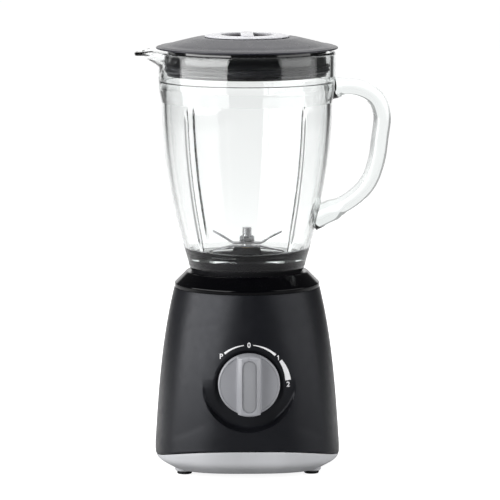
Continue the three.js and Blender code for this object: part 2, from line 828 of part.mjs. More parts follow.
function spoutLevels() {
  return [1, 0.66, 0.33, 0].map((share) => rimHeight - share * spoutDepth);
}

// The outside of the glass above its foot, set out by a clearance.
function jugOutside(clearance) {
  const bandBottom = rimHeight - jugBandHeight;
  return [
    [jugFootRadius + clearance, 0],
    ...wallLevels(jugFootHeight).map((h) => [jugRadius(h) + clearance, h]),
    [jugBandRadius + clearance, bandBottom],
    ...spoutLevels().map((h) => [jugBandRadius + clearance, h]),
  ];
}

// Pushes the rim out into a pouring spout on the -X side.
function spout(geometry) {
  const p = geometry.attributes.position;
  const half = radians(spoutHalfAngle);
  for (let i = 0; i < p.count; i++) {
    const [x, y, z] = [p.getX(i), p.getY(i), p.getZ(i)];
    const r = Math.hypot(x, y);
    const off = Math.PI - Math.abs(Math.atan2(y, x));
    if (off >= half || z < rimHeight - spoutDepth) continue;
    const across = Math.cos((off / half) * (Math.PI / 2)) ** 1.3;
    const behind = r < jugBandRadius - jugWall / 2 ? spoutLip * across : 0;
    const rise = Math.max(z - behind - (rimHeight - spoutDepth), 0) / spoutDepth;
    const push = 1 + (spoutReach * across * rise ** 1.7) / r;
    p.setXYZ(i, x * push, y * push, z + spoutRise * across * rise ** 2);
  }
  return geometry;
}

// Presses four upright ribs into the inside of the wall.
function innerRibs(geometry) {
  const p = geometry.attributes.position;
  const step = (2 * Math.PI) / fine;
  for (let i = 0; i < p.count; i++) {
    const [x, y, h] = [p.getX(i), p.getY(i), p.getZ(i)];
    const r = Math.hypot(x, y);
    const off = Math.abs(((Math.atan2(y, x) + 2 * Math.PI) % (Math.PI / 2)) - Math.PI / 4);
    const inside = r < jugRadius(h) - jugWall / 2 && r > jugFloorRadius + 1;
    if (off > step / 2 || !inside || h > jugBellyHeight - 1) continue;
    p.setXY(i, (x * (r - innerRibDepth)) / r, (y * (r - innerRibDepth)) / r);
  }
  return geometry;
}

function jugGlass() {
  const inside = wallLevels(jugFloorThickness + 8).map((h) => [jugRadius(h) - jugWall, h]);
  const bandInside = jugBandRadius - jugWall;
  return ring([
    [jugHoleRadius, -neckLength],
    [neckRadius, -neckLength],
    [neckRadius, 0],
    ...jugOutside(0),
    ...spoutLevels().reverse().map((h) => [bandInside, h]),
    [bandInside, rimHeight - jugBandHeight + 1],
    ...inside.reverse(),
    [jugFloorRadius, jugFloorThickness],
    [jugHoleRadius, jugFloorThickness],
  ], fine, (geometry) => innerRibs(spout(geometry)));
}

function handlePath() {
  const reach = handleReach - jugBellyRadius;
  const drop = handleTopHeight - handleLowHeight;
  const at = (outward, down) =>
    new THREE.Vector3(jugBellyRadius + outward * reach, 0, handleTopHeight - down * drop);
  return new THREE.CatmullRomCurve3([
    at(-0.1, 0), at(0.5, 0), at(0.86, 0.07), at(1, 0.19), at(0.96, 0.38),
    at(0.885, 0.56), at(0.715, 0.72), at(0.38, 0.845), at(-0.42, 1),
  ]);
}

function jugHandle() {
  const section = new THREE.Shape();
  section.absellipse(0, 0, handleWidth / 2, handleThickness / 2, 0, 2 * Math.PI);
  const options = { steps: 20, curveSegments: 6, extrudePath: handlePath() };
  const bar = new THREE.ExtrudeGeometry(section, options);
  const glass = turned([[0, -neckLength], ...jugOutside(seatGap), [0, rimHeight]], fine);
  return solid(bar).subtract(glass);
}

function jugCollar() {
  const inner = collarRadius - collarWall;
  const threadBore = neckRadius + seatGap;
  const body = ring([
    [collarRadius, collarBottom],
    [collarRadius, -seatGap],
    [threadBore, -seatGap],
    [threadBore, ledgeTop],
    [collarLedgeBore, ledgeTop],
    [collarLedgeBore, ledgeTop - collarLedgeThickness],
    [inner, ledgeTop - collarLedgeThickness],
    [inner, collarBottom],
  ], fine);
  const depth = keyDepth + seatGap + collarClearance;
  const half = keyWidth / 2 + 1;
  const notches = around(keyCount, (angle) =>
    box([sleeveRadius - depth, -half, collarBottom - 1], [sleeveRadius + 1, half, -3], angle + Math.PI / 4));
  const backingRadius = collarRadius - keyDepth;
  const backing = tube(backingRadius, backingRadius - collarWall, collarBottom, ledgeTop, fine);
  return joined(cut(body, ...notches), backing);
}

const holderBottom = ledgeTop + seatGap;
const holderTop = holderBottom + holderFlangeThickness;
const hubTop = jugFloorThickness + holderHubRise;

function jugGasket() {
  const bottom = holderTop + seatGap;
  return tube(neckRadius - 0.2, jugHoleRadius + 0.4, bottom, bottom + gasketThickness, fine);
}

function bladeHolder() {
  const domeTop = jugFloorThickness - holderDomeDrop;
  return ring([
    [boreRadius + bushWall + seatGap, holderBottom - 2],
    [holderHubRadius, holderBottom - 2],
    [holderHubRadius, holderBottom],
    [neckRadius - 0.2, holderBottom],
    [neckRadius - 0.2, holderTop],
    [holderDomeRadius, holderTop],
    [holderDomeRadius, domeTop - 3],
    [holderDomeRadius - 6, domeTop],
    [holderHubRadius + 3, domeTop + 1],
    [holderHubRadius, hubTop],
    [boreRadius + bushWall + seatGap, hubTop],
  ], medium * 1.5);
}

function shaftBush() {
  return tube(boreRadius + bushWall, boreRadius, holderBottom - 2, hubTop, medium);
}

function driveTop() {
  return dogTopZ + seatGap - jugFootZ;
}

function bladeShaft() {
  return cylinder(shaftRadius, driveTop() + 2, bladeShaftTop, medium);
}

function drivenCoupler() {
  const disc = driveTop();
  const body = joined(
    cylinder(couplerRadius, disc, disc + couplerDiscThickness, medium),
    cylinder(couplerHubRadius, disc, holderBottom - 2 - 2 * seatGap, medium),
    ...dogs(180 / dogCount, disc - dogHeight, disc + 1));
  return body.subtract(cylinder(boreRadius, disc + 2 - seatGap, holderBottom, medium));
}

// A two-armed blade bent from strip, its hub lying at z = bottom.
function blade(bottom, rise, taper) {
  const t = bladeThickness;
  const strip = polygon([
    [-bladeReach, bottom + rise], [-bladeHubLength, bottom],
    [bladeHubLength, bottom], [bladeReach, bottom + rise],
    [bladeReach, bottom + rise + t], [bladeHubLength, bottom + t], [-bladeHubLength, bottom + t],
    [-bladeReach, bottom + rise + t],
  ]);
  const half = bladeWidth / 2;
  const plan = polygon([
    [-bladeReach, -half * taper], [-bladeHubLength, -half], [bladeHubLength, -half], [bladeReach - 6, -half],
    [bladeReach, half * taper], [bladeHubLength, half], [-bladeHubLength, half], [-bladeReach + 6, half],
  ]);
  const low = Math.min(bottom, bottom + rise) - 1;
  const high = Math.max(bottom, bottom + rise) + t + 1;
  const arms = prismY(strip, half).intersect(solid(prism(plan, low, high)));
  return cut(arms, cylinder(boreRadius, low, high, medium));
}

const lowerBladeBottom = hubTop + seatGap;
const upperBladeBottom = lowerBladeBottom + bladeSpacing;

function bladeNut() {
  const bottom = upperBladeBottom + bladeThickness + seatGap;
  return cylinder(nutRadius, bottom, bottom + nutHeight, 6).subtract(
    cylinder(boreRadius, bottom - 1, bladeShaftTop + seatGap, medium));
}

// ---------- lid and cap ----------
// In the lid's own frame z = 0 is the rim of the glass.
const skirtTop = seatGap + skirtFlangeThickness;
const lidBottom = skirtTop + seatGap;

function lidCover() {
  const edgeTop = lidBottom + lidEdgeHeight;
  const steps = 4;
  const dome = (inset) => Array.from({ length: steps + 1 }, (_, i) => {
    const share = lerp(1, lidHoleRadius / lidRadius, i / steps);
    const rise = Math.min(lidSlope * (1 - share ** 1.3), lidLandHeight);
    return [lidRadius * share - (i === 0 ? 1 : 0) - inset, edgeTop + rise - inset];
  });
  return ring([
    [lidRadius - lidEdgeUndercut, lidBottom],
    [lidRadius, lidBottom + lidEdgeHeight * 0.7],
    ...dome(0),
    [lidHoleRadius, lidBottom - lidNeckHeight],
    [lidHoleRadius + lidWall, lidBottom - lidNeckHeight],
    ...dome(lidWall).slice(1, -1).reverse(),
    [lidRadius - 2 * lidWall, lidBottom],
  ], fine);
}

function lidSkirt() {
  return ring([
    [skirtRadius, -skirtDepth],
    [skirtRadius, seatGap],
    [skirtFlangeRadius, seatGap],
    [skirtFlangeRadius, skirtTop],
    [skirtRadius - skirtWall, skirtTop],
    [skirtRadius - skirtWall, -skirtDepth],
  ], fine);
}

function lidSeal() {
  const z = -skirtDepth + 2;
  return ring([
    [skirtRadius + seatGap, z],
    [skirtRadius + seatGap, z + sealHeight],
    [skirtRadius + seatGap + sealThickness, z + sealHeight],
    [sealRadius, z + sealHeight / 2],
    [skirtRadius + seatGap + sealThickness, z],
  ], fine);
}

function fillerCap() {
  const seat = lidBottom + lidEdgeHeight + lidLandHeight + seatGap;
  const top = seat + capFlangeThickness;
  const cavityTop = top - capPitDepth - capWall;
  const cup = turned([
    [0, cavityTop], [capCupRadius - capWall, cavityTop], [capCupRadius - capWall, seat - capCupDepth],
    [capCupRadius, seat - capCupDepth], [capCupRadius, seat],
    [capRadius, seat], [capRadius, seat + capWall / 2],
    [capRadius - 4, top], [0, top],
  ], fine);
  const pit = cylinder(capPitRadius, top - capPitDepth, top + 1, fine);
  const bar = box([-capGripWidth / 2, -capPitRadius - 2, top - capPitDepth - 1],
    [capGripWidth / 2, capPitRadius + 2, top + capGripHeight]);
  return joined(cup.subtract(pit), bar);
}

// ---------- assembly ----------
const base = new THREE.Group();
const motor = new THREE.Group();
const dial = new THREE.Group();
const jug = new THREE.Group();
const lid = new THREE.Group();
dial.position.set(0, -dialSetback, dialCentreZ);
dial.rotation.x = Math.PI / 2;
jug.position.z = jugFootZ;
lid.position.z = rimHeight;

base.add(
  piece("housing", housing(), "charcoal"),
  piece("top_ring", topRing(), "gloss_black"),
  piece("bottom_cover", bottomCover(), "silver"),
);
const gland = piece("cord_gland", cordGland(), "rubber");
gland.position.z = glandZ;
base.add(gland);
for (const [corner, sx, sy] of corners) {
  const pad = piece(`foot_${corner}`, foot(), "rubber");
  pad.position.set(sx * footX, sy * footY, 0);
  const coverLength = postBottomZ - screwSeatZ() + screwThreadLength;
  const fixing = piece(`cover_screw_${corner}`,
    screw(screwRadius, screwHeadRadius, screwHeadHeight, coverLength), "steel");
  fixing.position.set(sx * screwX, sy * screwX, screwSeatZ() - seatGap);
  const mountBottom = upperBracketZ + bracketThickness + seatGap;
  const mount = piece(`motor_mount_${corner}`,
    tube(mountRadius, boltRadius + seatGap, mountBottom, mountBottom + mountHeight, coarse), "rubber");
  mount.position.set(sx * mountX, sy * mountY, 0);
  const mountScrew = piece(`mount_screw_${corner}`,
    screw(boltRadius, boltHeadRadius, boltHeadHeight, socketFloorZ - upperBracketZ - 6), "steel");
  mountScrew.position.set(sx * mountX, sy * mountY, upperBracketZ - seatGap);
  base.add(pad, fixing);
  motor.add(mount, mountScrew);
}

motor.add(
  piece("stator_core", statorCore(), "lamination"),
  piece("field_coil_left", fieldCoil(-1), "copper"),
  piece("field_coil_right", fieldCoil(1), "copper"),
  piece("lower_bracket", lowerBracket(), "steel"),
  piece("upper_bracket", upperBracket(), "steel"),
  piece("lower_bearing", bearing(lowerBearingZ()), "bright_steel"),
  piece("upper_bearing", bearing(upperBearingZ()), "bright_steel"),
  piece("motor_shaft", motorShaft(), "bright_steel"),
  piece("rotor_core", rotorCore(), "lamination"),
  piece("rotor_winding", rotorWinding(), "copper"),
  piece("commutator", commutator(), "copper"),
  piece("cooling_fan", coolingFan(), "black"),
  piece("drive_coupler", driveCoupler(), "black"),
);
for (const [name, side] of [["front", -1], ["rear", 1]]) {
  const boltLength = upperBracketZ + bracketThickness - lowerBracketZ + 1;
  const bolt = piece(`stator_bolt_${name}`,
    screw(boltRadius, boltHeadRadius, boltHeadHeight, boltLength), "steel");
  bolt.position.set(side * boltX, side * boltY, lowerBracketZ - seatGap);
  const brushGear = new THREE.Group();
  brushGear.rotation.z = side > 0 ? 0 : Math.PI;
  brushGear.add(
    piece(`brush_holder_${name}`, brushHolder(), "brass"),
    piece(`carbon_brush_${name}`, carbonBrush(), "carbon"),
    piece(`brush_spring_${name}`, brushSpring(), "bright_steel"),
  );
  motor.add(bolt, brushGear);
}

dial.add(
  piece("rotary_switch", rotarySwitch(), "black"),
  piece("switch_spindle", switchSpindle(), "steel"),
  piece("knob", knob(), "knob_grey"),
  piece("knob_inlay", knobInlay(), "inlay_grey"),
);

jug.add(
  piece("jug_glass", jugGlass(), "glass"),
  piece("jug_handle", jugHandle(), "glass"),
  piece("jug_collar", jugCollar(), "black"),
  piece("jug_gasket", jugGasket(), "rubber"),
  piece("blade_holder", bladeHolder(), "black"),
  piece("shaft_bush", shaftBush(), "brass"),
  piece("driven_coupler", drivenCoupler(), "black"),
  piece("blade_shaft", bladeShaft(), "bright_steel"),
  piece("lower_blade", blade(lowerBladeBottom, -lowerBladeDrop, 0.2), "bright_steel"),
  piece("upper_blade", blade(upperBladeBottom, upperBladeRise, 0.2), "bright_steel"),
  piece("blade_nut", bladeNut(), "bright_steel"),
);

lid.add(
  piece("lid_cover", lidCover(), "lid_grey"),
  piece("lid_skirt", lidSkirt(), "gloss_black"),
  piece("lid_seal", lidSeal(), "seal"),
  piece("filler_cap", fillerCap(), "frosted"),
);
jug.add(lid);

const blender = new THREE.Group();
const assembly = new THREE.Group();
assembly.add(base, motor, dial, jug);
blender.add(assembly);
const middle = new THREE.Box3().setFromObject(assembly).getCenter(new THREE.Vector3());
assembly.position.set(-middle.x, -middle.y, 0);

export default blender;
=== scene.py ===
import json
import math

import bmesh
import bpy
from mathutils import Matrix, Vector


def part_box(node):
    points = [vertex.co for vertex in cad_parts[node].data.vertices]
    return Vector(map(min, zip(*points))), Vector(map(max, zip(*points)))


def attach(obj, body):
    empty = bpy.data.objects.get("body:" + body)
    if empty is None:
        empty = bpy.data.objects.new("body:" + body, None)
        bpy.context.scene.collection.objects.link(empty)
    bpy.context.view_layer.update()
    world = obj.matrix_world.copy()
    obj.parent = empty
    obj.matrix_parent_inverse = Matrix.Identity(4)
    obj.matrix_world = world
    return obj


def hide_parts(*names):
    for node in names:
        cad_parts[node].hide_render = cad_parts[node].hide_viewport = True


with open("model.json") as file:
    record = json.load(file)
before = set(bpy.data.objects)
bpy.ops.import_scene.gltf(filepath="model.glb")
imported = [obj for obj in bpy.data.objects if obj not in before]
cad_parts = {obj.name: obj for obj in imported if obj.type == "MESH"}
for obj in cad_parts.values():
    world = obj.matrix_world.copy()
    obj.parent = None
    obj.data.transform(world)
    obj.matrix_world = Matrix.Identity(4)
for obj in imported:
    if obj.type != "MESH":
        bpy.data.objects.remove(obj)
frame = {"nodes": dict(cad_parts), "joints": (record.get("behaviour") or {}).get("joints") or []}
scene = bpy.context.scene
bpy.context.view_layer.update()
joints = {j["name"]: j for j in frame["joints"]}
MM = 0.001
AXIS = Vector(joints["rotor_spin"]["pos_m"])
AXIS.z = 0.0
DIAL = Vector(joints["knob_turn"]["pos_m"])
JUG_NECK, JUG_H = 7.2, 188.8  # the glass below its foot, and from its foot to its rim
FOOT_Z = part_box("jug_glass")[0].z / MM + JUG_NECK
RIM_Z = FOOT_Z + JUG_H
CORNERS = (("front_left", -1, -1), ("front_right", 1, -1), ("rear_left", -1, 1), ("rear_right", 1, 1))


# ---------- meshes
def clamp(v, low=0.0, high=1.0):
    return max(low, min(high, v))


def smooth(v):
    """0 to 1 with level ends."""
    v = clamp(v)
    return v * v * (3 - 2 * v)


def lerp(a, b, t):
    return a + (b - a) * t


def soft_min(a, b, k):
    """The smaller of two values, rounded off where they are less than k apart."""
    h = clamp((k - abs(a - b)) / k)
    return min(a, b) - h * h * k / 4


def soft_plus(v, k):
    """A value above 0, and 0 below it, rounded off in the same way."""
    return -soft_min(-v, 0.0, k)


def placed(name, data):
    """A new object in the scene."""
    made = bpy.data.objects.new(name, data)
    scene.collection.objects.link(made)
    return made


def make(name, points, faces, origin=AXIS, angle=35):
    """A mesh piece from points in millimetres about an origin, its normals outwards, shaded smooth."""
    mesh = bpy.data.meshes.new(name)
    mesh.from_pydata([origin + Vector(p) * MM for p in points], [], faces)
    bm = bmesh.new()
    bm.from_mesh(mesh)
    bmesh.ops.remove_doubles(bm, verts=bm.verts, dist=2e-7)
    bmesh.ops.dissolve_degenerate(bm, edges=bm.edges, dist=1e-7)
    bmesh.ops.recalc_face_normals(bm, faces=bm.faces)
    bm.to_mesh(mesh)
    bm.free()
    piece = placed(name, mesh)
    shade(piece, angle)
    return piece


def shade(piece, angle):
    mesh = piece.data
    mesh.polygons.foreach_set("use_smooth", [True] * len(mesh.polygons))
    mesh.set_sharp_from_angle(angle=math.radians(angle))


def grid_faces(rows, columns, wrap_rows=False):
    """Quads between rows of points. Each row is a ring."""
    faces = []
    for i in range(rows if wrap_rows else rows - 1):
        here, above = i * columns, (i + 1) % rows * columns
        for j in range(columns):
            beside = (j + 1) % columns
            faces.append((here + j, here + beside, above + beside, above + j))
    return faces


def rounded(corners, steps=5):
    """A profile from (r, z) or (r, z, radius) corners, each corner with a radius turned into an arc."""
    points = []
    for i, corner in enumerate(corners):
        p = Vector(corner[:2])
        radius = corner[2] if len(corner) > 2 else 0
        if not radius:
            points.append(tuple(p))
            continue
        a = Vector(corners[i - 1][:2]) - p
        b = Vector(corners[(i + 1) % len(corners)][:2]) - p
        half = a.angle(b) / 2
        reach = min(radius / math.tan(half), a.length * 0.49, b.length * 0.49)
        radius = reach * math.tan(half)
        start, end = p + a.normalized() * reach, p + b.normalized() * reach
        centre = p + (a.normalized() + b.normalized()).normalized() * (radius / math.sin(half))
        u, v = start - centre, end - centre
        sweep = u.angle(v)
        turn = math.copysign(sweep, u.x * v.y - u.y * v.x)
        for k in range(steps + 1):
            t = turn * k / steps
            points.append((centre.x + u.x * math.cos(t) - u.y * math.sin(t),
                           centre.y + u.x * math.sin(t) + u.y * math.cos(t)))
    return points


def is_open(profile):
    """An open profile starts on the axis. Any other is a loop."""
    return profile[0][0] < 0.02


def dense(profile, step):
    """The same profile with more points on its long edges."""
    out = []
    for (r0, z0), (r1, z1) in zip(profile, profile[1:] + ([] if is_open(profile) else profile[:1])):
        n = max(1, math.ceil(math.hypot(r1 - r0, z1 - z0) / step))
        out += [(lerp(r0, r1, k / n), lerp(z0, z1, k / n)) for k in range(n)]
    return out + profile[-1:] if is_open(profile) else out


def plain(r, z, turn):
    return r * math.cos(turn), r * math.sin(turn), z


def turned(name, profile, segments=96, place=plain, origin=AXIS, angle=35, turns=None):
    """A surface of revolution about Z. place moves a point to its final spot; turns are its own angles."""
    turns = turns or [2 * math.pi * j / segments for j in range(segments)]
    points = [place(r, z, turn) for r, z in profile for turn in turns]
    return make(name, points, grid_faces(len(profile), len(turns), not is_open(profile)), origin, angle)


def lying(r, z, turn):
    """A placer that lays a turned piece's axis along +Y, to the back."""
    return r * math.cos(turn), z, r * math.sin(turn)


def prism(name, outline, low, high, origin=AXIS, along_y=False):
    """An outline pulled along Z, or along Y."""
    points = [(u, w, v) if along_y else (u, v, w) for w in (low, high) for u, v in outline]
    n = len(outline)
    faces = [tuple(range(n)), tuple(range(n, 2 * n))]
    faces += [(i, (i + 1) % n, n + (i + 1) % n, n + i) for i in range(n)]
    return make(name, points, faces, origin)


def evaluated(made):
    """The mesh that an object's modifiers or text come to."""
    bpy.context.view_layer.update()
    return bpy.data.meshes.new_from_object(made.evaluated_get(bpy.context.evaluated_depsgraph_get()))


def apply_modifiers(piece):
    mesh = evaluated(piece)
    piece.modifiers.clear()
    piece.data = mesh


def combine(piece, tool, operation, angle=40):
    """piece joined with, cut by or cut down to tool, which is used up."""
    change = piece.modifiers.new("combine", "BOOLEAN")
    change.operation, change.object, change.solver = operation, tool, "EXACT"
    apply_modifiers(piece)
    bpy.data.objects.remove(tool)
    shade(piece, angle)
    return piece


def cut(piece, tool, angle=40):
    return combine(piece, tool, "DIFFERENCE", angle)


def bevelled(piece, width, angle=30, segments=3):
    bevel = piece.modifiers.new("bevel", "BEVEL")
    bevel.width, bevel.segments, bevel.limit_method = width * MM, segments, "ANGLE"
    bevel.angle_limit = math.radians(angle)
    apply_modifiers(piece)
    shade(piece, 40)
    return piece


def joined(name, pieces, angle=35):
    """Separate pieces as one object."""
    mesh = bpy.data.meshes.new(name)
    bm = bmesh.new()
    for piece in pieces:
        bm.from_mesh(piece.data)
        bpy.data.objects.remove(piece)
    bm.to_mesh(mesh)
    bm.free()
    made = placed(name, mesh)
    shade(made, angle)
    return made


def drum(name, radius, low, high, x=0.0, y=0.0, edge=0.4):
    """A short cylinder with rounded ends."""
    profile = rounded([(0, low), (radius, low, edge), (radius, high, edge), (0, high)], steps=3)
    return turned(name, profile, 32, origin=AXIS + Vector((x, y, 0)) * MM)


def spun(piece, angle, outwards=0.0):
    """A piece moved outwards along +Y, in millimetres, and then turned about the motor axis."""
    piece.data.transform(Matrix.Translation(AXIS) @ Matrix.Rotation(angle, 4, "Z")
                         @ Matrix.Translation((0, outwards * MM, 0)) @ Matrix.Translation(-AXIS))
    return piece


def circle(radius, count):
    turns = (2 * math.pi * k / count for k in range(count))
    return [(radius * math.cos(turn), radius * math.sin(turn)) for turn in turns]


def oblong(x0, x1, y0, y1):
    return [(x0, y0), (x1, y0), (x1, y1), (x0, y1)]


def stadium(half_width, half_length):
    """A long outline with round ends."""
    steps = 16
    top = [(half_width * math.cos(t), half_length - half_width + half_width * math.sin(t))
           for t in (math.pi * k / steps for k in range(steps + 1))]
    return top + [(-x, -y) for x, y in top]


# ---------- materials
def linear(c):
    return c / 12.92 if c <= 0.04045 else ((c + 0.055) / 1.055) ** 2.4


def rgb(red, green, blue):
    """A colour given as 0-255 display values."""
    return tuple(linear(c / 255) for c in (red, green, blue)) + (1.0,)


class Tree:
    """Short ways to add and join the nodes of a node tree."""

    def __init__(self, owner):
        owner.use_nodes = True
        self.tree = owner.node_tree

    def node(self, kind, **values):
        """A new node. Each value goes to the input, or else the property, of that name."""
        made = self.tree.nodes.new(kind)
        for key, value in values.items():
            if key in made.inputs:
                made.inputs[key].default_value = value
            else:
                setattr(made, key, value)
        return made

    def link(self, source, target):
        self.tree.links.new(source, target)

    def spread(self, source, low, high, start=0.3, end=0.7, interpolation="LINEAR"):
        """A value that goes from low to high while the source goes from start to end."""
        made = self.node("ShaderNodeMapRange", interpolation_type=interpolation)
        for socket, value in (("From Min", start), ("From Max", end), ("To Min", low), ("To Max", high)):
            made.inputs[socket].default_value = value
        self.link(source, made.inputs["Value"])
        return made.outputs["Result"]

    def calc(self, operation, *values):
        made = self.node("ShaderNodeMath", operation=operation)
        for socket, value in zip(made.inputs, values):
            if isinstance(value, float):
                socket.default_value = value
            else:
                self.link(value, socket)
        return made.outputs[0]

    def vector(self, operation, source, other=(0, 0, 0)):
        made = self.node("ShaderNodeVectorMath", operation=operation)
        self.link(source, made.inputs[0])
        made.inputs[1].default_value = other
        return made

    def axis(self, source, name):
        """One of the X, Y and Z of a vector."""
        split = self.node("ShaderNodeSeparateXYZ")
        self.link(source, split.inputs["Vector"])
        return split.outputs[name]

    def mix(self, share, first, second):
        made = self.node("ShaderNodeMixShader")
        for source, socket in zip((share, first, second), made.inputs):
            self.link(source, socket)
        return made.outputs[0]


class Look(Tree):
    """A node material with a Principled shader."""

    def __init__(self, name, **sockets):
        self.material = bpy.data.materials.new(name)
        super().__init__(self.material)
        self.shader = self.tree.nodes["Principled BSDF"]
        for socket, value in sockets.items():
            self.shader.inputs[socket.replace("_", " ")].default_value = value

    def place(self, scale=(1, 1, 1)):
        """Object coordinates in metres, stretched by a scale."""
        where = self.node("ShaderNodeTexCoord")
        mapping = self.node("ShaderNodeMapping", Scale=scale)
        self.link(where.outputs["Object"], mapping.inputs["Vector"])
        return mapping.outputs["Vector"]

    def noise(self, scale, detail=2.0, stretch=(1, 1, 1), roughness=0.5):
        made = self.node("ShaderNodeTexNoise", Scale=scale, Detail=detail, Roughness=roughness)
        self.link(self.place(stretch), made.inputs["Vector"])
        return made.outputs["Fac"]

    def colour(self, source, first, second, start=0.3, end=0.7):
        ramp = self.node("ShaderNodeValToRGB")
        for stop, where, tint in zip(ramp.color_ramp.elements, (start, end), (first, second)):
            stop.position, stop.color = where, tint
        self.link(source, ramp.inputs["Fac"])
        self.link(ramp.outputs["Color"], self.shader.inputs["Base Color"])

    def roughness(self, source, low, high):
        self.link(self.spread(source, low, high), self.shader.inputs["Roughness"])

    def bump(self, source, height):
        """Adds relief of a height in millimetres."""
        made = self.node("ShaderNodeBump", Distance=height * MM, Strength=1.0)
        self.link(source, made.inputs["Height"])
        normal = self.shader.inputs["Normal"]
        if normal.is_linked:
            self.link(normal.links[0].from_socket, made.inputs["Normal"])
        self.link(made.outputs["Normal"], normal)


def shaded(tint, amount):
    """A lighter or darker tint."""
    return tuple(c * amount for c in tint[:3]) + (1.0,)


def plastic(name, tint, low, high, grain=0.012, grain_scale=2600.0, **sockets):
    """Moulded plastic: a fine spark-eroded grain, slight flow marks and a little unevenness in its gloss."""
    look = Look(name, **sockets)
    flow = look.noise(24.0, 3.0, (1, 1, 0.35))
    look.colour(flow, shaded(tint, 0.93), shaded(tint, 1.07))
    look.roughness(look.noise(160.0, 4.0), low, high)
    if grain:
        look.bump(look.noise(grain_scale, 2.0), grain)
    look.bump(look.noise(38.0, 1.0), 0.02)
    return look.material


def metal(name, tint, low, high, stretch=(1, 1, 1), scale=900.0):
    """Metal with fine directional scratches."""
    look = Look(name, Metallic=1.0)
    scratches = look.noise(scale, 4.0, stretch, 0.6)
    look.colour(scratches, shaded(tint, 0.86), shaded(tint, 1.08))
    look.roughness(scratches, low, high)
    look.bump(scratches, 0.01)
    return look.material


def striped(name, tint, pitch, low, high):
    """Wound wire or stacked sheet: fine ridges at a pitch in millimetres up the motor."""
    look = Look(name, Metallic=1.0)
    wave = look.node("ShaderNodeTexWave", bands_direction="Z", Scale=math.pi / (10 * pitch * MM),
                     Distortion=0.6, Detail=2.0)
    wave.inputs["Detail Scale"].default_value = 2.0
    look.link(look.place(), wave.inputs["Vector"])
    ridges = wave.outputs["Fac"]
    look.colour(ridges, shaded(tint, 0.45), shaded(tint, 1.1), 0.1, 0.7)
    look.roughness(look.noise(500.0, 3.0), low, high)
    look.bump(ridges, 0.15)
    return look.material


def milky(name, tint, painted_pit_shade, top):
    """Milky clear plastic with its top at a height. Its recesses get painted shade: inside them, below the
    top, its colour turns dark like the dark lid seen through it.
    """
    look = Look(name, Transmission_Weight=0.25, IOR=1.46)
    height = look.spread(look.axis(look.place(), "Z"), 0.0, 1.0, top - 2.9 * MM, top - 1.9 * MM)
    reach = look.vector("DISTANCE", look.place((1, 1, 0)), (AXIS.x, AXIS.y, 0))
    beside = look.spread(reach.outputs["Value"], 0.0, 1.0, 24.5 * MM, 26.0 * MM)  # past the recesses
    # painted shade: the walls of the recesses are coloured dark below the top
    look.colour(look.calc("MAXIMUM", height, beside), painted_pit_shade, tint, 0.0, 1.0)
    look.roughness(look.noise(160.0, 4.0), 0.22, 0.3)
    look.bump(look.noise(38.0, 1.0), 0.02)
    return look.material


def glass(name):
    """Pressed clear glass: slightly wavy, faintly green through its thickness."""
    look = Look(name, Roughness=0.012, IOR=1.5, Transmission_Weight=1.0, Base_Color=(0.985, 0.992, 0.99, 1.0))
    look.bump(look.noise(26.0, 2.0, (1, 1, 0.45)), 0.16)
    look.bump(look.noise(110.0, 2.0), 0.012)
    depth = look.node("ShaderNodeVolumeAbsorption", Color=(0.72, 0.80, 0.78, 1.0), Density=14.0)
    look.link(depth.outputs["Volume"], look.tree.nodes["Material Output"].inputs["Volume"])
    return look.material


looks = {
    "charcoal": plastic("charcoal_plastic", rgb(18, 19, 23), 0.33, 0.42,
                        Specular_Tint=(0.64, 0.65, 0.69, 1.0)),
    "gloss_black": plastic("gloss_black_plastic", rgb(3, 3, 5), 0.08, 0.13, grain=0, Specular_IOR_Level=0.25),
    "silver": plastic("silver_plastic", rgb(191, 192, 195), 0.42, 0.5, grain=0.008),
    "knob_grey": plastic("knob_grey_plastic", rgb(162, 163, 168), 0.30, 0.38, grain=0.006,
                         Specular_IOR_Level=0.9),
    "inlay_grey": plastic("inlay_grey_plastic", rgb(150, 151, 155), 0.5, 0.6, grain=0.01),
    "rubber": plastic("black_rubber", rgb(20, 20, 22), 0.75, 0.9, grain=0.03, grain_scale=1500.0),
    "lid_grey": plastic("lid_grey_plastic", rgb(37, 37, 44), 0.26, 0.33,
                        Specular_Tint=(0.97, 0.96, 1.0, 1.0)),
    "seal": plastic("seal_rubber", rgb(26, 27, 30), 0.35, 0.5, grain=0.01),
    "black": plastic("black_nylon", rgb(24, 24, 27), 0.4, 0.55, grain=0.02),
    # the measuring cap, with painted shade in its finger pits
    "frosted": milky("frosted_plastic", rgb(236, 236, 240), rgb(104, 98, 106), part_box("filler_cap")[1].z),
    "steel": metal("zinc_steel", rgb(190, 191, 194), 0.25, 0.45),
    "bright_steel": metal("ground_steel", rgb(214, 214, 216), 0.14, 0.3, (1, 30, 1), 260.0),
    "lamination": striped("laminated_steel", rgb(120, 121, 125), 0.5, 0.4, 0.6),
    "copper": striped("enamelled_copper", rgb(196, 104, 50), 0.5, 0.22, 0.4),
    "brass": metal("brass", rgb(208, 170, 92), 0.22, 0.4),
    "carbon": plastic("pressed_carbon", rgb(38, 38, 42), 0.55, 0.75, grain=0.03),
    "glass": glass("clear_glass"),
}
skirt_black = plastic("polished_black_plastic", rgb(5, 6, 8), 0.06, 0.10, grain=0, IOR=1.8)
matte_black = plastic("matte_black_nylon", rgb(20, 20, 22), 0.8, 0.9, grain=0.02, Specular_IOR_Level=0.05)
print_white = plastic("printed_white", rgb(232, 232, 234), 0.35, 0.45, grain=0)


def coat(made, material):
    made.data.materials.clear()
    made.data.materials.append(material)


def piece(made, body, slot, *nodes, material=None):
    """Finishes a piece: its material, the body it rides on and the CAD nodes it stands for."""
    coat(made, material or looks[slot])
    if nodes:
        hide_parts(*nodes)
    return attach(made, body)


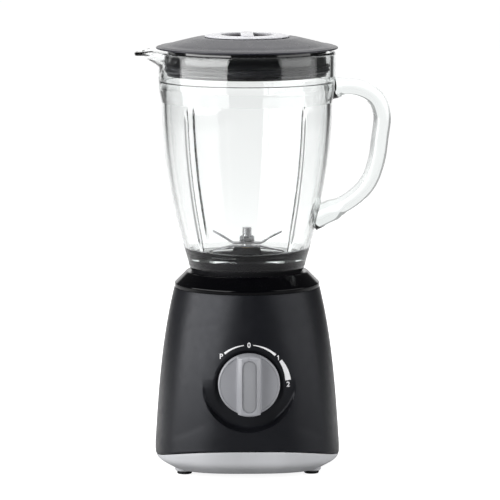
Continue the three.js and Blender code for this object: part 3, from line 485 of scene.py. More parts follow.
# ---------- base shells
# Heights and half-widths of the flat underside, the widest place and the top.
BOTTOM, FOOT_R, WIDE_Z, WIDE_R, TOP_Z, TOP_R = 4.5, 66.7, 21.0, 80.2, 158.7, 63.2
FLARE, FLARE_END = 1.66, 5.0  # outward for each millimetre up from the underside, and its soft end
WALL = 2.5
SEAM_Z, SEAM_BOW, SEAM_HALF = 14, 12, 0.3  # its height at the sides, its rise to the front, half its gap
DIAL_Z, DIAL_Y = DIAL.z / MM, 69.0  # the centre of the recess and how far forward its face is
COVE_R, COVE_WIDTH, COVE_DEPTH = 36.0, 5.3, 10.5  # the recess rises from its face to its mouth
FACE_BOW = 0.0021  # how much its face bends back for each square millimetre from the middle
GROOVE_R, GROOVE_SLOPE = 27.8, 1.5
SCREW_XY, POST_R = 45.25, 5.0
MOUNT_X, MOUNT_Y = 40, 18
FOOT_X, FOOT_Y = 55, 38
GLAND_Z, GLAND_HOLE_R = 36, 5.7
SOCKET_Z = 144.8  # the lower end of the ring's sleeve


def flank(z):
    """Half-width of the housing at a height."""
    s = (z - WIDE_Z) / (TOP_Z - WIDE_Z)
    return WIDE_R - (WIDE_R - TOP_R) * (s + s ** 3) / 2


def squareness(z):
    """The exponent of the outline at a height: a soft square at the bottom, round at the top."""
    return lerp(2.9, 2.0, clamp((z - WIDE_Z) / (TOP_Z - WIDE_Z)))


def plan(r, z, turn):
    """A placer that gives a ring the outline of its height."""
    n = squareness(z)
    c, s = math.cos(turn), math.sin(turn)
    reach = (abs(c) ** n + abs(s) ** n) ** (1 / n)
    return r * c / reach, r * s / reach, z


def bowl(z):
    """Half-width of the bottom cover at a height."""
    return soft_min(WIDE_R, FOOT_R + FLARE * (z - BOTTOM), FLARE_END)


def base_radius(z):
    return flank(z) if z >= WIDE_Z else bowl(z)


def seam_height(turn, gap):
    """Height of the seam's edge at an angle: the seam depends on y, and y on the height."""
    z = 20.0
    for _ in range(12):
        y = plan(base_radius(z), z, turn)[1]
        z = SEAM_Z + SEAM_BOW * (y / WIDE_R) ** 2 + gap
    return z


def front_depth(x, z):
    """How far in front of the motor axis the body's surface is."""
    r, n = flank(z), squareness(z)
    return r * clamp(1 - (abs(x) / r) ** n) ** (1 / n)


def dial_depth(x, z):
    """The same with the dial's recess: a nearly flat face, a cove and a sharp mouth below the dial.
    Above the dial there is only a narrow groove round the knob."""
    reach = math.hypot(x, z - DIAL_Z)
    body = front_depth(x, z)
    cove = COVE_DEPTH * max(0.0, (reach - COVE_R) / COVE_WIDTH) ** 3
    below = soft_min(body, DIAL_Y - FACE_BOW * x * x + cove, 0.8)
    above = soft_min(body, DIAL_Y + GROOVE_SLOPE * soft_plus(reach - GROOVE_R, 1.0), 1.0)
    climb = (z - DIAL_Z) / max(reach, 1.0)  # -1 straight below the dial, 1 straight above
    return lerp(below, above, smooth((climb + 0.8) / 0.95))


QUARTER_ROUND = [math.pi / 2 * k / 3 for k in range(4)]  # angles


def thickened(surface):
    """A surface given the base's wall on its inner side."""
    wall = surface.modifiers.new("wall", "SOLIDIFY")
    wall.thickness, wall.offset = WALL * MM, -1
    apply_modifiers(surface)
    return surface


def housing():
    """The shell, on a grid that is a disc of rings in its front panel and plain rows round the rest."""
    disc, blend_from = 53, 46  # the rings turn into the plain grid between these radii
    rings = [4 + 2.2 * k for k in range(10)] + [25.5 + 0.75 * k for k in range(12)]
    rings += [34.6 + 0.6 * k for k in range(15)] + [44.5, 46.5, 49, 51, disc]
    levels = [r / disc for r in rings]
    levels = [-m for m in reversed(levels)] + levels
    half_turn, half_height = 0.86, 52.0  # of the front panel
    side_steps, lower_steps, upper_steps = 120, 7, 8
    # a column is its place across the panel, or None beside it, and its angle
    columns = [(m, m * half_turn - math.pi / 2) for m in levels]
    columns += [(None, lerp(half_turn, 2 * math.pi - half_turn, k / side_steps) - math.pi / 2)
                for k in range(1, side_steps)]
    z_low, z_high = DIAL_Z - half_height, DIAL_Z + half_height
    lip, edge = 0.6, 0.35

    def on_panel(u, v):
        """A point of the square from -1 to 1, drawn towards its place on a disc."""
        m = max(abs(u), abs(v))
        z = DIAL_Z + v * half_height
        x = plan(flank(z), z, u * half_turn - math.pi / 2)[0]
        phi = (v / u) * math.pi / 4 if abs(u) >= abs(v) else math.pi / 2 - (u / v) * math.pi / 4
        side = math.copysign(1, u if abs(u) >= abs(v) else v)
        cx, cz = side * m * disc * math.cos(phi), side * m * disc * math.sin(phi)
        blend = 1 - smooth((m * disc - blend_from) / (disc - blend_from))
        x, z = lerp(x, cx, blend), lerp(z, DIAL_Z + cz, blend)
        return x, -dial_depth(x, z), z

    rows = []
    for bend in QUARTER_ROUND:  # the rounded lower edge, along the seam
        rows.append(lambda u, t, bend=bend: plan(
            base_radius(seam_height(t, SEAM_HALF)) - lip * (1 - math.sin(bend)),
            seam_height(t, SEAM_HALF) + lip * (1 - math.cos(bend)), t))
    for k in range(1, lower_steps):
        def lower(u, t, k=k):
            z = lerp(seam_height(t, SEAM_HALF) + lip, z_low, k / lower_steps)
            return plan(base_radius(z), z, t)
        rows.append(lower)
    hole_row = len(rows) + len(levels) // 2 - 1  # where the knob's spindle passes
    hole_column = len(levels) // 2 - 1
    for v in levels:
        def middle(u, t, v=v):
            z = DIAL_Z + v * half_height
            return plan(flank(z), z, t) if u is None else on_panel(u, v)
        rows.append(middle)
    for k in range(1, upper_steps + 1):
        z = z_high + (TOP_Z - edge - z_high) * k / upper_steps
        rows.append(lambda u, t, z=z: plan(flank(z), z, t))
    floor_z = SOCKET_Z - 0.3  # of the socket for the jug
    inward = rounded([(TOP_R, TOP_Z - edge), (TOP_R, TOP_Z, edge), (50, TOP_Z, 0.8), (50, floor_z, 0.8),
                      (22, floor_z)], steps=4)[1:]
    for r, z in inward:
        rows.append(lambda u, t, r=r, z=z: plain(r, z, t))

    points = [row(u, t) for row in rows for u, t in columns]
    faces = grid_faces(len(rows), len(columns))
    del faces[hole_row * len(columns) + hole_column]
    return thickened(make("base_housing", points, faces))


def posts():
    """The posts inside that the cover's screws and the motor's mounts go into."""
    made = []
    for _, sx, sy in CORNERS:
        made.append(drum("post", POST_R, 21, 78, sx * SCREW_XY, sy * SCREW_XY))
        made.append(drum("post", POST_R, 127, 142.5, sx * MOUNT_X, sy * MOUNT_Y))
    return made


gland_hole = turned("tool", [(0, 60), (GLAND_HOLE_R, 60), (GLAND_HOLE_R, 100), (0, 100)], 32, lying,
                    origin=AXIS + Vector((0, 0, GLAND_Z)) * MM)
shell = joined("base_housing", [cut(housing(), gland_hole), *posts()], 40)
piece(shell, "base", "charcoal", "housing")


def bottom_cover():
    turns, steps, edge = 176, 12, 0.6

    def top_of(turn):
        return seam_height(turn, -SEAM_HALF)

    rows = [lambda t, r=r: plain(r, BOTTOM, t) for r in (0.01, 12, 24, 36, 48)]
    rows.append(lambda t: plan(58, BOTTOM, t))
    for k in range(steps + 1):
        def rise(t, k=k):
            z = lerp(BOTTOM, top_of(t) - edge, (k / steps) ** 1.6)
            return plan(bowl(z), z, t)
        rows.append(rise)
    for bend in QUARTER_ROUND[1:]:  # the rounded upper edge
        rows.append(lambda t, bend=bend: plan(
            bowl(top_of(t) - edge) - 0.5 * (1 - math.cos(bend)),
            top_of(t) - edge * (1 - math.sin(bend)), t))
    points = [row(2 * math.pi * j / turns) for row in rows for j in range(turns)]
    made = thickened(make("bottom_cover_shell", points, grid_faces(len(rows), turns)))
    boss_profile = rounded([(0, 2.7), (8.2, 2.7, 0.9), (8.2, 8, 0), (9.6, 14), (0, 14)])
    for _, sx, sy in CORNERS:  # a boss and a hole for each foot, and a counterbored hole for each screw
        foot, screw = (sx * FOOT_X, sy * FOOT_Y), (sx * SCREW_XY, sy * SCREW_XY)
        boss = turned("boss", boss_profile, 48, origin=AXIS + Vector((*foot, 0)) * MM)
        combine(made, boss, "UNION")
        cut(made, drum("hole", 3.3, -5, 20, *foot, edge=0))
        cut(made, drum("hole", 4.0, -5, 9.4, *screw, edge=0))
        cut(made, drum("hole", 2.2, -5, 20, *screw, edge=0))
    for k in range(6):  # vents under the fan
        cut(made, spun(prism("vent", stadium(2, 10), -2, 12), k * math.pi / 3 - math.pi / 2, 26))
    return made


piece(bottom_cover(), "base", "silver", "bottom_cover")

DIAGONALS = [math.pi / 4 + k * math.pi / 2 for k in range(4)]  # angles of the keys that hold the jug
ring_profile = rounded([
    (TOP_R, 159, 0.2), (63.1, 162.4, 1.0), (53.4, 172.1, 0.8), (52.4, 172.6, 0.4), (48, 172.6, 0.9),
    (48, SOCKET_Z), (49.7, SOCKET_Z), (49.7, 170.1), (60.4, 161.6), (60.7, 159)])
ring = turned("jug_socket_ring", dense(ring_profile, 6), 160)
keys = [bevelled(spun(prism("key", oblong(45.2, 49.2, -5, 5), SOCKET_Z, 160.5), turn), 0.6)
        for turn in DIAGONALS]
piece(joined("jug_socket_ring", [ring, *keys]), "base", "gloss_black", "top_ring")

foot_profile = rounded([(0, 0.5), (2.4, 0.5), (2.8, 0, 0.2), (5.9, 0, 0.4), (6.5, 0.7, 0.3), (6.2, 2.4, 0.3),
                        (3, 2.4, 0.3), (3, 9), (0, 9)], steps=3)
for corner, _, _ in CORNERS:
    node = "foot_" + corner
    low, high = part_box(node)
    centre = (low + high) / 2
    centre.z = 0
    piece(turned("rubber_" + node, foot_profile, 48, origin=centre), "base", "rubber", node)

gland_front, gland_back = (corner.y / MM - AXIS.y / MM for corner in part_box("cord_gland"))
gland_profile = rounded([  # its flange is flat against the back of the housing
    (3.4, gland_back, 0.5), (8, gland_back, 0.7), (8, gland_back - 2.2, 0.3), (5.4, gland_back - 2.2),
    (5.4, gland_front + 2.2), (8, gland_front + 2.2, 0.3), (8, gland_front, 0.4), (3.4, gland_front, 0.4)])
piece(turned("cord_entry_gland", gland_profile, 64, lying, origin=AXIS + Vector((0, 0, GLAND_Z)) * MM),
      "base", "rubber", "cord_gland")


# ---------- dial
# Drawn facing forwards: x right, z up from the dial's centre, and depth out of the dial's face.
LABEL_R = 33.6
KNOB_TOP, GRIP_HALF, GRIP_TOP_HALF = 20.0, 19.7 / 2, 13.0 / 2
INLAY_HALF, INLAY_LONG, INLAY_GAP = 5.7, 22.2, 0.3


def dial_place(r, z, turn):
    return lying(r, -z, turn)


def knob():
    """A disc with a raised rim and a bar with sloped shoulders across it."""
    disc_profile = rounded([
        (0, 6.0), (24.6, 6.0, 0.2), (25.0, 6.5, 0.3), (26.0, 6.4, 0.3), (26.5, 5.7, 0.3), (26.5, 0.9, 0.5),
        (26.0, 0.3, 0.3), (23.5, 0.3), (23.5, 3.0), (3.3, 3.0), (3.3, 9.3), (0, 9.3)], steps=4)
    disc = turned("knob_disc", dense(disc_profile, 5), 128, dial_place, origin=DIAL)
    right = [(GRIP_HALF + 1.6, 4.2), (GRIP_HALF + 0.3, 7.4, 2.0), (GRIP_HALF - 0.1, 9.5),
             (GRIP_HALF - 0.3, 18.2, 0.8), (GRIP_TOP_HALF, KNOB_TOP, 0.8)]
    left = [(-x, *rest) for x, *rest in reversed(right)]
    bar = prism("knob_grip", [(x, -d) for x, d in rounded([left[-1], *right, *left[:-1]])], -28, 28, DIAL)
    end_profile = rounded([(0, 4.4), (26.3, 4.4), (26.3, 14), (25.6, KNOB_TOP, 1.8), (0, KNOB_TOP)], steps=4)
    ends = turned("tool", dense(end_profile, 4), 128, dial_place, origin=DIAL)
    combine(bar, ends, "INTERSECT")
    pocket = stadium(INLAY_HALF + INLAY_GAP, INLAY_LONG + INLAY_GAP)
    cut(bar, prism("tool", pocket, 1.6 - KNOB_TOP, -KNOB_TOP - 2, DIAL, along_y=True))
    groove = oblong(-0.35, 0.35, 23.6, 30)
    cut(bar, prism("tool", groove, 0.5 - KNOB_TOP, -KNOB_TOP - 2, DIAL, along_y=True))
    combine(disc, bar, "UNION")
    return bevelled(disc, 0.35, 38, 2)


grip = knob()
grip.name = "dial_knob"
piece(grip, "dial", "knob_grey", "knob")

insert = prism("dial_knob_insert", stadium(INLAY_HALF, INLAY_LONG), -18.7, -19.1, DIAL, along_y=True)
piece(bevelled(insert, 0.15), "dial", "inlay_grey", "knob_inlay")


def mark(outline):
    """An outline as a thin plate on the dial's face."""
    return prism("mark", outline, 0.05, -0.1, DIAL, along_y=True)


def on_label(degrees):
    """A place on the ring of marks, clockwise from the top."""
    return LABEL_R * math.sin(math.radians(degrees)), LABEL_R * math.cos(math.radians(degrees))


def arc_mark(start, end, thin, thick):
    """An arc that grows thicker."""
    steps = 40
    outline = []
    for side in (1, -1):
        for k in range(steps + 1):
            t = k / steps if side > 0 else 1 - k / steps
            a = math.radians(lerp(start, end, t))
            r = LABEL_R + side * lerp(thin, thick, t) / 2
            outline.append((r * math.sin(a), r * math.cos(a)))
    return mark(outline)


def glyph(character, degrees):
    text = bpy.data.curves.new("mark", "FONT")
    text.body, text.size, text.offset = character, 6.0 * MM, 0.11 * MM
    text.align_x, text.align_y, text.extrude = "CENTER", "CENTER", 0.075 * MM
    text.resolution_u = 6
    holder = placed("mark", text)
    mesh = evaluated(holder)
    bpy.data.objects.remove(holder)
    ends = (Vector(end(v.co[i] for v in mesh.vertices) for i in range(3)) for end in (min, max))
    x, z = on_label(degrees)
    spot = DIAL + Vector((x, -0.02, z)) * MM
    mesh.transform(Matrix.Translation(spot) @ Matrix.Rotation(math.pi / 2, 4, "X")
                   @ Matrix.Translation(-sum(ends, Vector()) / 2))
    return placed("mark", mesh)


def numeral_one(degrees):
    """A 1 with a flag."""
    cx, cz = on_label(degrees)
    outline = [(-0.05, -2.1), (0.6, -2.1), (0.6, 2.1), (0.1, 2.1), (-0.9, 1.35), (-0.9, 0.7), (-0.05, 1.2)]
    return mark([(cx + x, cz + z) for x, z in outline])


def laid_on_recess(marks):
    """The marks cut into small pieces and moved onto the recess."""
    bm = bmesh.new()
    bm.from_mesh(marks.data)
    for k in range(-40, 41):
        for normal in ((1, 0, 0), (0, 0, 1)):
            bmesh.ops.bisect_plane(bm, geom=bm.verts[:] + bm.edges[:] + bm.faces[:], plane_no=normal,
                                   plane_co=DIAL + Vector((k, 0, k)) * MM)
    for v in bm.verts:
        v.co.y += (DIAL_Y - dial_depth((v.co.x - DIAL.x) / MM, v.co.z / MM) - 0.05) * MM
    bm.to_mesh(marks.data)
    bm.free()
    return marks


marks = [arc_mark(-7.4, -38.5, 0.6, 1.8), arc_mark(6.4, 42.5, 0.6, 2.1), arc_mark(53.5, 84.5, 2.8, 5.0),
         glyph("P", -44.5), glyph("0", 0), numeral_one(48), glyph("2", 90.5)]
piece(laid_on_recess(joined("dial_marks", marks)), "base", "charcoal", material=print_white)


# ---------- jug
# Heights h are above the jug's foot.
GLASS_TOP = JUG_H + 1.6  # the rounded rim reaches up under the lid
BAND_R, GLASS_WALL = 76.6, 4.0
BODY_R, BODY_SWELL, BODY_LOW, BODY_TALL = 51.2, 22.8, 6.8, 140.0  # it widens by the swell over its height
SPOUT_HALF = math.radians(24)
SPOUT_LOW, SPOUT_HIGH, SPOUT_BEAD = 177.2, 187.3, 185.9  # it comes out between the first two heights
SPOUT_THROAT, SPOUT_TIP, SPOUT_LIP = 18.5, 2.5, 1.8  # how far out it and its bead go, and its lip's height
SPOUT_LIFT, SPOUT_DROOP = 1.6, 1.9
LIP_R, LIP_HIGH = 46.4, 11.0  # of the collar's lip, which fills the groove under the foot
RIB_TURNS = [math.radians(a - 3.2) for a in (45, 135, 225, 315)]
RIB_HALF, RIB_HEIGHT, RIB_LOW, RIB_TOP = 1.9, 2.3, 18, 144


def jug_radius(h):
    rise = clamp((h - BODY_LOW) / BODY_TALL)
    return BODY_R + BODY_SWELL * (1 - (1 - rise) ** 1.85)


def jug_place(r, h, turn):
    """Ribs inside the wall, and the pouring spout on the -X side."""
    if 46.5 < r < jug_radius(h) - GLASS_WALL / 2:
        off = min(abs(turn - rib) for rib in RIB_TURNS) * r
        fade = smooth((h - RIB_LOW) / 16) * smooth((RIB_TOP - h) / 10)
        r -= RIB_HEIGHT * math.exp(-((off / RIB_HALF) ** 4)) * fade
    off = abs(math.pi - turn)
    if off < SPOUT_HALF and h > SPOUT_LOW and r > 60:
        across = math.cos(off / SPOUT_HALF * math.pi / 2) ** 1.3
        inwards = clamp((BAND_R - r) / GLASS_WALL)
        rise = clamp((h - SPOUT_LIP * across * inwards - SPOUT_LOW) / (SPOUT_HIGH - SPOUT_LOW))
        bead = smooth((h - SPOUT_BEAD) / 1.1) * (1 - inwards)
        out = across * (SPOUT_THROAT * rise ** 1.15 + SPOUT_TIP * bead)
        r += out
        droop = SPOUT_DROOP * (out / (SPOUT_THROAT + SPOUT_TIP)) ** 2
        h += rise ** 2 * (SPOUT_LIFT * min(1.0, 2 * across) - droop)
    return plain(r, FOOT_Z + h, turn)


def jug():
    outer = [(jug_radius(h), h) for h in [8.5 + 138.3 * k / 30 for k in range(31)]]
    inner = [(jug_radius(h) - GLASS_WALL, h) for h in [146.3 - 118.3 * k / 26 for k in range(27)]]
    throat = BAND_R - GLASS_WALL
    profile = [(33, -6.4), *rounded([
        (33, -JUG_NECK), (40, -JUG_NECK, 0.8), (40, LIP_HIGH, 0.6), (LIP_R, LIP_HIGH, 0.6), (LIP_R, 0, 0.6),
        (48.9, 0, 1.4), (51.1, 5.4, 3.6), (51.3, 7.4)])[1:]]
    profile += outer[:-1]
    profile += rounded([
        outer[-2], (74.0, 146.8, 1.6), (76.5, 158.6, 2.6),
        *((BAND_R, h) for h in (177, 179, 181, 183, SPOUT_BEAD, 187)), (BAND_R, GLASS_TOP, 1.7),
        (throat, GLASS_TOP, 1.7), *((throat, h) for h in (187, 185, 183, 181, 179)),
        (throat, 165.0, 0.5), (70.4, 164.4, 0.9), inner[0]])[1:-1]
    profile += inner
    profile += rounded([inner[-1], (50.8, 19.5, 7), (46, 14.5, 2.0), (33, 14.5, 1.2), (33, -6.4)],
                       steps=6)[1:-1]
    turns = {2 * math.pi * j / 180 for j in range(180)}
    for rib in RIB_TURNS:  # finer across the ribs
        turns = {t for t in turns if abs(t - rib) > math.radians(3.2)}
        turns |= {rib + math.radians(3 * k / 14) for k in range(-14, 15)}
    return turned("glass_jug", dense(profile, 5), place=jug_place, angle=60, turns=sorted(turns))


def spline(keys):
    """A centripetal Catmull-Rom line through key points."""
    steps = 14
    keys = [keys[0] * 2 - keys[1], *keys, keys[-1] * 2 - keys[-2]]
    line = []
    for i in range(1, len(keys) - 2):
        p0, p1, p2, p3 = keys[i - 1:i + 3]
        t0 = 0.0
        t1 = t0 + (p1 - p0).length ** 0.5
        t2 = t1 + (p2 - p1).length ** 0.5
        t3 = t2 + (p3 - p2).length ** 0.5
        for k in range(steps + (i == len(keys) - 3)):
            t = lerp(t1, t2, k / steps)

            def between(a, b, start, end):
                return a * ((end - t) / (end - start)) + b * ((t - start) / (end - start))
            middle = between(p1, p2, t1, t2)
            before = between(between(p0, p1, t0, t1), middle, t0, t2)
            after = between(middle, between(p2, p3, t2, t3), t1, t3)
            line.append(between(before, after, t1, t2))
    return line


def handle():
    """A bar with a soft oblong section, thicker where it joins the jug."""
    top, drop, out = 158.3, 115.3, 43.0  # height of its upper end, how far it goes down and out
    line = spline([Vector((74 + out * o, 0, top - drop * d)) for o, d in (
        (-0.1, 0), (0.5, 0), (0.86, 0.07), (1, 0.19), (0.96, 0.38), (0.885, 0.56), (0.715, 0.72),
        (0.38, 0.845), (-0.42, 1))])
    half_wide, half_thick, swell, swell_long = 10.0, 7.6, 0.3, 14
    length = [0.0]
    for a, b in zip(line, line[1:]):
        length.append(length[-1] + (b - a).length)
    around = 48
    sideways = Vector((0, 1, 0))
    points = []
    for i, p in enumerate(line):
        ahead = (line[min(i + 1, len(line) - 1)] - line[max(i - 1, 0)]).normalized()
        across = sideways.cross(ahead).normalized()
        clear = min(length[i] - 4, length[-1] - length[i] - 18)  # distance from the glass
        flare = 1 + swell * (1 - smooth(clear / swell_long)) ** 1.5
        for j in range(around):
            a = 2 * math.pi * j / around
            c, s = math.cos(a), math.sin(a)
            wide = math.copysign(abs(c) ** 0.8, c) * half_wide
            thick = math.copysign(abs(s) ** 0.8, s) * half_thick
            points.append(p + sideways * (wide * flare) + across * (thick * flare) + Vector((0, 0, FOOT_Z)))
    faces = grid_faces(len(line), around)
    last = (len(line) - 1) * around
    faces += [tuple(range(around)), tuple(range(last, last + around))]
    return make("glass_handle", points, faces, angle=60)


def jug_core():
    """The space inside the glass and half its wall, which the handle mustn't enter."""
    profile = [(jug_radius(h) - GLASS_WALL / 2, h) for h in [4 + 142 * k / 24 for k in range(25)]]
    profile = [(0.01, 0), *profile, (74.4, 160), (74.4, 188), (0.01, 188)]
    return turned("tool", [(r, FOOT_Z + h) for r, h in profile], 144)


grip_bar = cut(handle(), jug_core(), 60)
vessel = combine(jug(), grip_bar, "UNION", 50)
piece(vessel, "jug", "glass", "jug_glass", "jug_handle")
vessel.visible_shadow = False


def node_z(name):
    """The lower and upper end of a CAD node, in millimetres."""
    low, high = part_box(name)
    return low.z / MM, high.z / MM


collar_low = node_z("jug_collar")[0]
touch = 0.02  # the collar is pressed against the glass, so that it shows black through it
collar_top, lip_top = FOOT_Z + touch, FOOT_Z + LIP_HIGH + touch
collar_profile = rounded([
    (47.5, collar_low, 0.5), (47.5, collar_top, 0.3), (LIP_R + touch, collar_top),
    (LIP_R + touch, lip_top, 0.6), (40.4, lip_top, 0.6), (40.4, 160.2), (30, 160.2, 0.3), (30, 157.2, 0.3),
    (41.7, 157.2), (41.7, collar_low, 0.4)])
collar = turned("jug_screw_collar", dense(collar_profile, 5), 128)
notch = oblong(44.4, 52, -6, 6)  # one for each key
for turn in DIAGONALS:
    cut(collar, spun(prism("tool", notch, collar_low - 2, FOOT_Z - 3), turn))
piece(collar, "jug", "black", "jug_collar", material=matte_black)


# ---------- blade unit
BLADE_REACH, BLADE_HALF, BLADE_THICK, EDGE_THICK, GRIND = 30, 6.0, 1.5, 0.25, 3.2
HUB_HOLE_R = 4.3

holder_low, holder_high = node_z("blade_holder")
hub_low = holder_low + 2
flange_top = hub_low + 3
dome_top = holder_high - 8
holder_profile = rounded([
    (7.3, holder_low), (11, holder_low, 0.4), (11, hub_low), (39.8, hub_low, 0.4), (39.8, flange_top, 0.4),
    (32.4, flange_top, 0.6), (32.4, dome_top - 3, 2.0), (26.4, dome_top, 3.0),
    (14, dome_top + 1, 2.0), (11, holder_high, 1.0), (7.3, holder_high)])
piece(turned("blade_unit_holder", dense(holder_profile, 4), 128), "jug", "black", "blade_holder",
      material=matte_black)

gasket_low, gasket_high = node_z("jug_gasket")
gasket_profile = rounded([(33.4, gasket_low, 0.5), (39.8, gasket_low, 0.5), (39.8, gasket_high, 0.5),
                          (33.4, gasket_high, 0.5)])
piece(turned("blade_unit_gasket", gasket_profile), "jug", "rubber", "jug_gasket")


def blade(name, node, rise):
    """A two-armed blade: strip bent up or down outside its hub, its leading edges ground thin."""
    low, high = node_z(node)
    bottom = low if rise > 0 else high - BLADE_THICK
    stations = range(-BLADE_REACH, BLADE_REACH + 1)
    points = []
    for x in stations:
        side = 1 if x >= 0 else -1
        out = clamp((abs(x) - 12) / 18)
        z = bottom + rise * (smooth(out * 1.6) * 0.12 + out * 0.88)
        tip = BLADE_HALF * (1 - 0.62 * clamp((abs(x) - 22) / 8) ** 1.6)  # the leading edge curves in
        lead, trail = (tip, -BLADE_HALF) if side > 0 else (BLADE_HALF, -tip)
        ground = smooth((abs(x) - 11) / 2)
        for y, up in ((trail, 0), (trail + 0.4, 0), (lead - GRIND, 0), (lead, 0),
                      (lead, 1), (lead - GRIND, 1), (trail + GRIND, 1), (trail, 1)):
            sharp = clamp(((lead - y) if side > 0 else (y - trail)) / GRIND)
            thick = lerp(BLADE_THICK, lerp(EDGE_THICK, BLADE_THICK, sharp), ground)
            points.append((x, y, z + thick * up))
    n = 8
    faces = grid_faces(len(stations), n)
    faces += [tuple(range(n)), tuple(range((len(stations) - 1) * n, len(stations) * n))]
    made = make(name, points, faces, angle=25)
    return cut(made, drum("tool", HUB_HOLE_R, low - 20, high + 20, edge=0), 25)


piece(blade("lower_blade_steel", "lower_blade", -4), "blades", "bright_steel", "lower_blade")
piece(blade("upper_blade_steel", "upper_blade", 10), "blades", "bright_steel", "upper_blade")

nut_low, nut_high = node_z("blade_nut")
nut = prism("blade_retaining_nut", circle(6.5, 6), nut_low, nut_high)
dome_profile = rounded([(0, nut_low - 1), (7.2, nut_low - 1), (7.2, nut_high - 1.6), (5.2, nut_high, 1.0),
                        (0, nut_high)])
combine(nut, turned("tool", dome_profile, 64), "INTERSECT")
cut(nut, drum("tool", HUB_HOLE_R, nut_low - 2, nut_low + 1.6, edge=0))
piece(bevelled(nut, 0.25), "blades", "bright_steel", "blade_nut")


# ---------- lid and cap
LID_R, LID_Z, LID_THICK = 79.0, RIM_Z + 5.0, 2.4  # radius and height of the dome's edge, and its thickness
DOME_RISE, LAND_RISE = 16.3, 8.8  # of the dome, and of the level land round the cap
BORE_R, SKIRT_R = 31.6, 69
SEAL_Z = RIM_Z - 15.8  # the lower end of the seal
CAP_R, PIT_R, BAR_HALF = 31, 22.8, 5.5


def lid_dome(inset):
    steps = 40
    out = []
    for k in range(steps + 1):
        share = lerp(0.985, BORE_R / LID_R, k / steps)
        rise = DOME_RISE * (1 - share ** 1.3)
        rise = LAND_RISE - soft_plus(LAND_RISE - rise, 0.5)
        r = LID_R * share  # with a low bead round the edge
        rise += 0.5 * math.exp(-((r - 75.2) / 1.5) ** 2) - 0.3 * math.exp(-((r - 69) / 3) ** 2)
        out.append((r, LID_Z + rise - inset))
    return out


def lid():
    low = RIM_Z + LID_THICK
    top = lid_dome(0)[1:]
    bottom = [p for p in reversed(lid_dome(LID_THICK)) if 35 < p[0] < 71]
    edge = rounded([(72.5, low + 1.8), (78.2, low + 1.6, 0.2), (LID_R, low + 2.0, 0.3),
                    (78.5, low + 3.0, 0.6), top[0]], steps=4)[:-1]
    bore = rounded([top[-2], (BORE_R, top[-1][1], 0.8), (BORE_R, low - 12, 0.6), (34, low - 12, 0.6),
                    (34, bottom[0][1]), bottom[1]], steps=4)[1:-1]
    return turned("lid_top", edge + top[:-1] + bore + bottom[1:], 160, angle=40)


piece(lid(), "lid", "lid_grey", "lid_cover")

skirt_low = node_z("lid_skirt")[0]
skirt_top = RIM_Z + 3.6
grooves = [(SKIRT_R - inwards, SEAL_Z + z + up, 0.1) for z in (1.85, 5.7)
           for inwards, up in ((0, -0.45), (0.45, -0.15), (0.45, 0.15), (0, 0.45))]
skirt_profile = rounded([(SKIRT_R, skirt_low, 0.7), *grooves, (SKIRT_R, skirt_top, 0.4), (66.6, skirt_top),
                         (66.6, skirt_low, 0.6)], steps=3)
piece(turned("lid_skirt_ring", skirt_profile, 160), "lid", "gloss_black", "lid_skirt", material=skirt_black)

seal_profile = rounded([(r, SEAL_Z + up, radius) for r, up, radius in (  # two lips press on the glass
    (69.25, 0, 0.2), (70.2, 0, 0.3), (70.4, 1.5, 0.2), (72.1, 2.1, 0.15), (72.1, 2.4, 0.15), (70.6, 2.9, 0.3),
    (70.6, 4.6, 0.2), (72.2, 5.6, 0.15), (72.2, 5.9, 0.15), (70.3, 6.5, 0.3), (69.25, 6.5, 0.2))], steps=2)
piece(turned("lid_seal_ring", seal_profile, 160), "lid", "seal", "lid_seal")


def filler_cap():
    """A flanged cup whose top has a finger pit on each side of a bar."""
    low, high = node_z("filler_cap")
    top = high - 0.8
    seat = top - 1.9
    profile = rounded([
        (0, top - 10), (29, top - 10, 1.0), (29, low, 0.5), (CAP_R, low, 0.5), (CAP_R, seat, 0.3),
        (36.7, seat, 0.4), (36.7, seat + 1, 0.5), (33.0, top, 2.0), (0, top)], steps=4)
    cap = turned("measuring_cap", dense(profile, 5), 144, angle=40)
    reach = math.sqrt(PIT_R ** 2 - BAR_HALF ** 2)
    for side in (-1, 1):
        arc = [p for p in circle(PIT_R, 96) if side * p[0] > BAR_HALF]
        arc.sort(key=lambda p: math.atan2(p[1], side * p[0]))
        outline = [(side * BAR_HALF, -reach), *arc, (side * BAR_HALF, reach)]
        cut(cap, bevelled(prism("tool", outline, top - 8, top + 6), 1.2, 50))
    bar = oblong(-BAR_HALF, BAR_HALF, -24.5, 24.5)
    return combine(cap, bevelled(prism("bar", bar, top - 4, high), 0.5), "UNION")


piece(filler_cap(), "cap", "frosted", "filler_cap")


# ---------- carried-over CAD nodes
slot_nodes = {
    "black": ["rotary_switch", "cooling_fan", "drive_coupler", "driven_coupler"],
    "steel": ["switch_spindle", "lower_bracket", "upper_bracket", "stator_bolt_front", "stator_bolt_rear"],
    "bright_steel": ["lower_bearing", "upper_bearing", "motor_shaft", "blade_shaft", "brush_spring_front",
                     "brush_spring_rear"],
    "lamination": ["stator_core", "rotor_core"],
    "copper": ["field_coil_left", "field_coil_right", "rotor_winding", "commutator"],
    "brass": ["shaft_bush", "brush_holder_front", "brush_holder_rear"],
    "carbon": ["carbon_brush_front", "carbon_brush_rear"],
    "rubber": [],
}
for corner, _, _ in CORNERS:
    slot_nodes["steel"] += ["cover_screw_" + corner, "mount_screw_" + corner]
    slot_nodes["rubber"].append("motor_mount_" + corner)
for slot, names in slot_nodes.items():
    for name in names:
        coat(frame["nodes"][name], looks[slot])

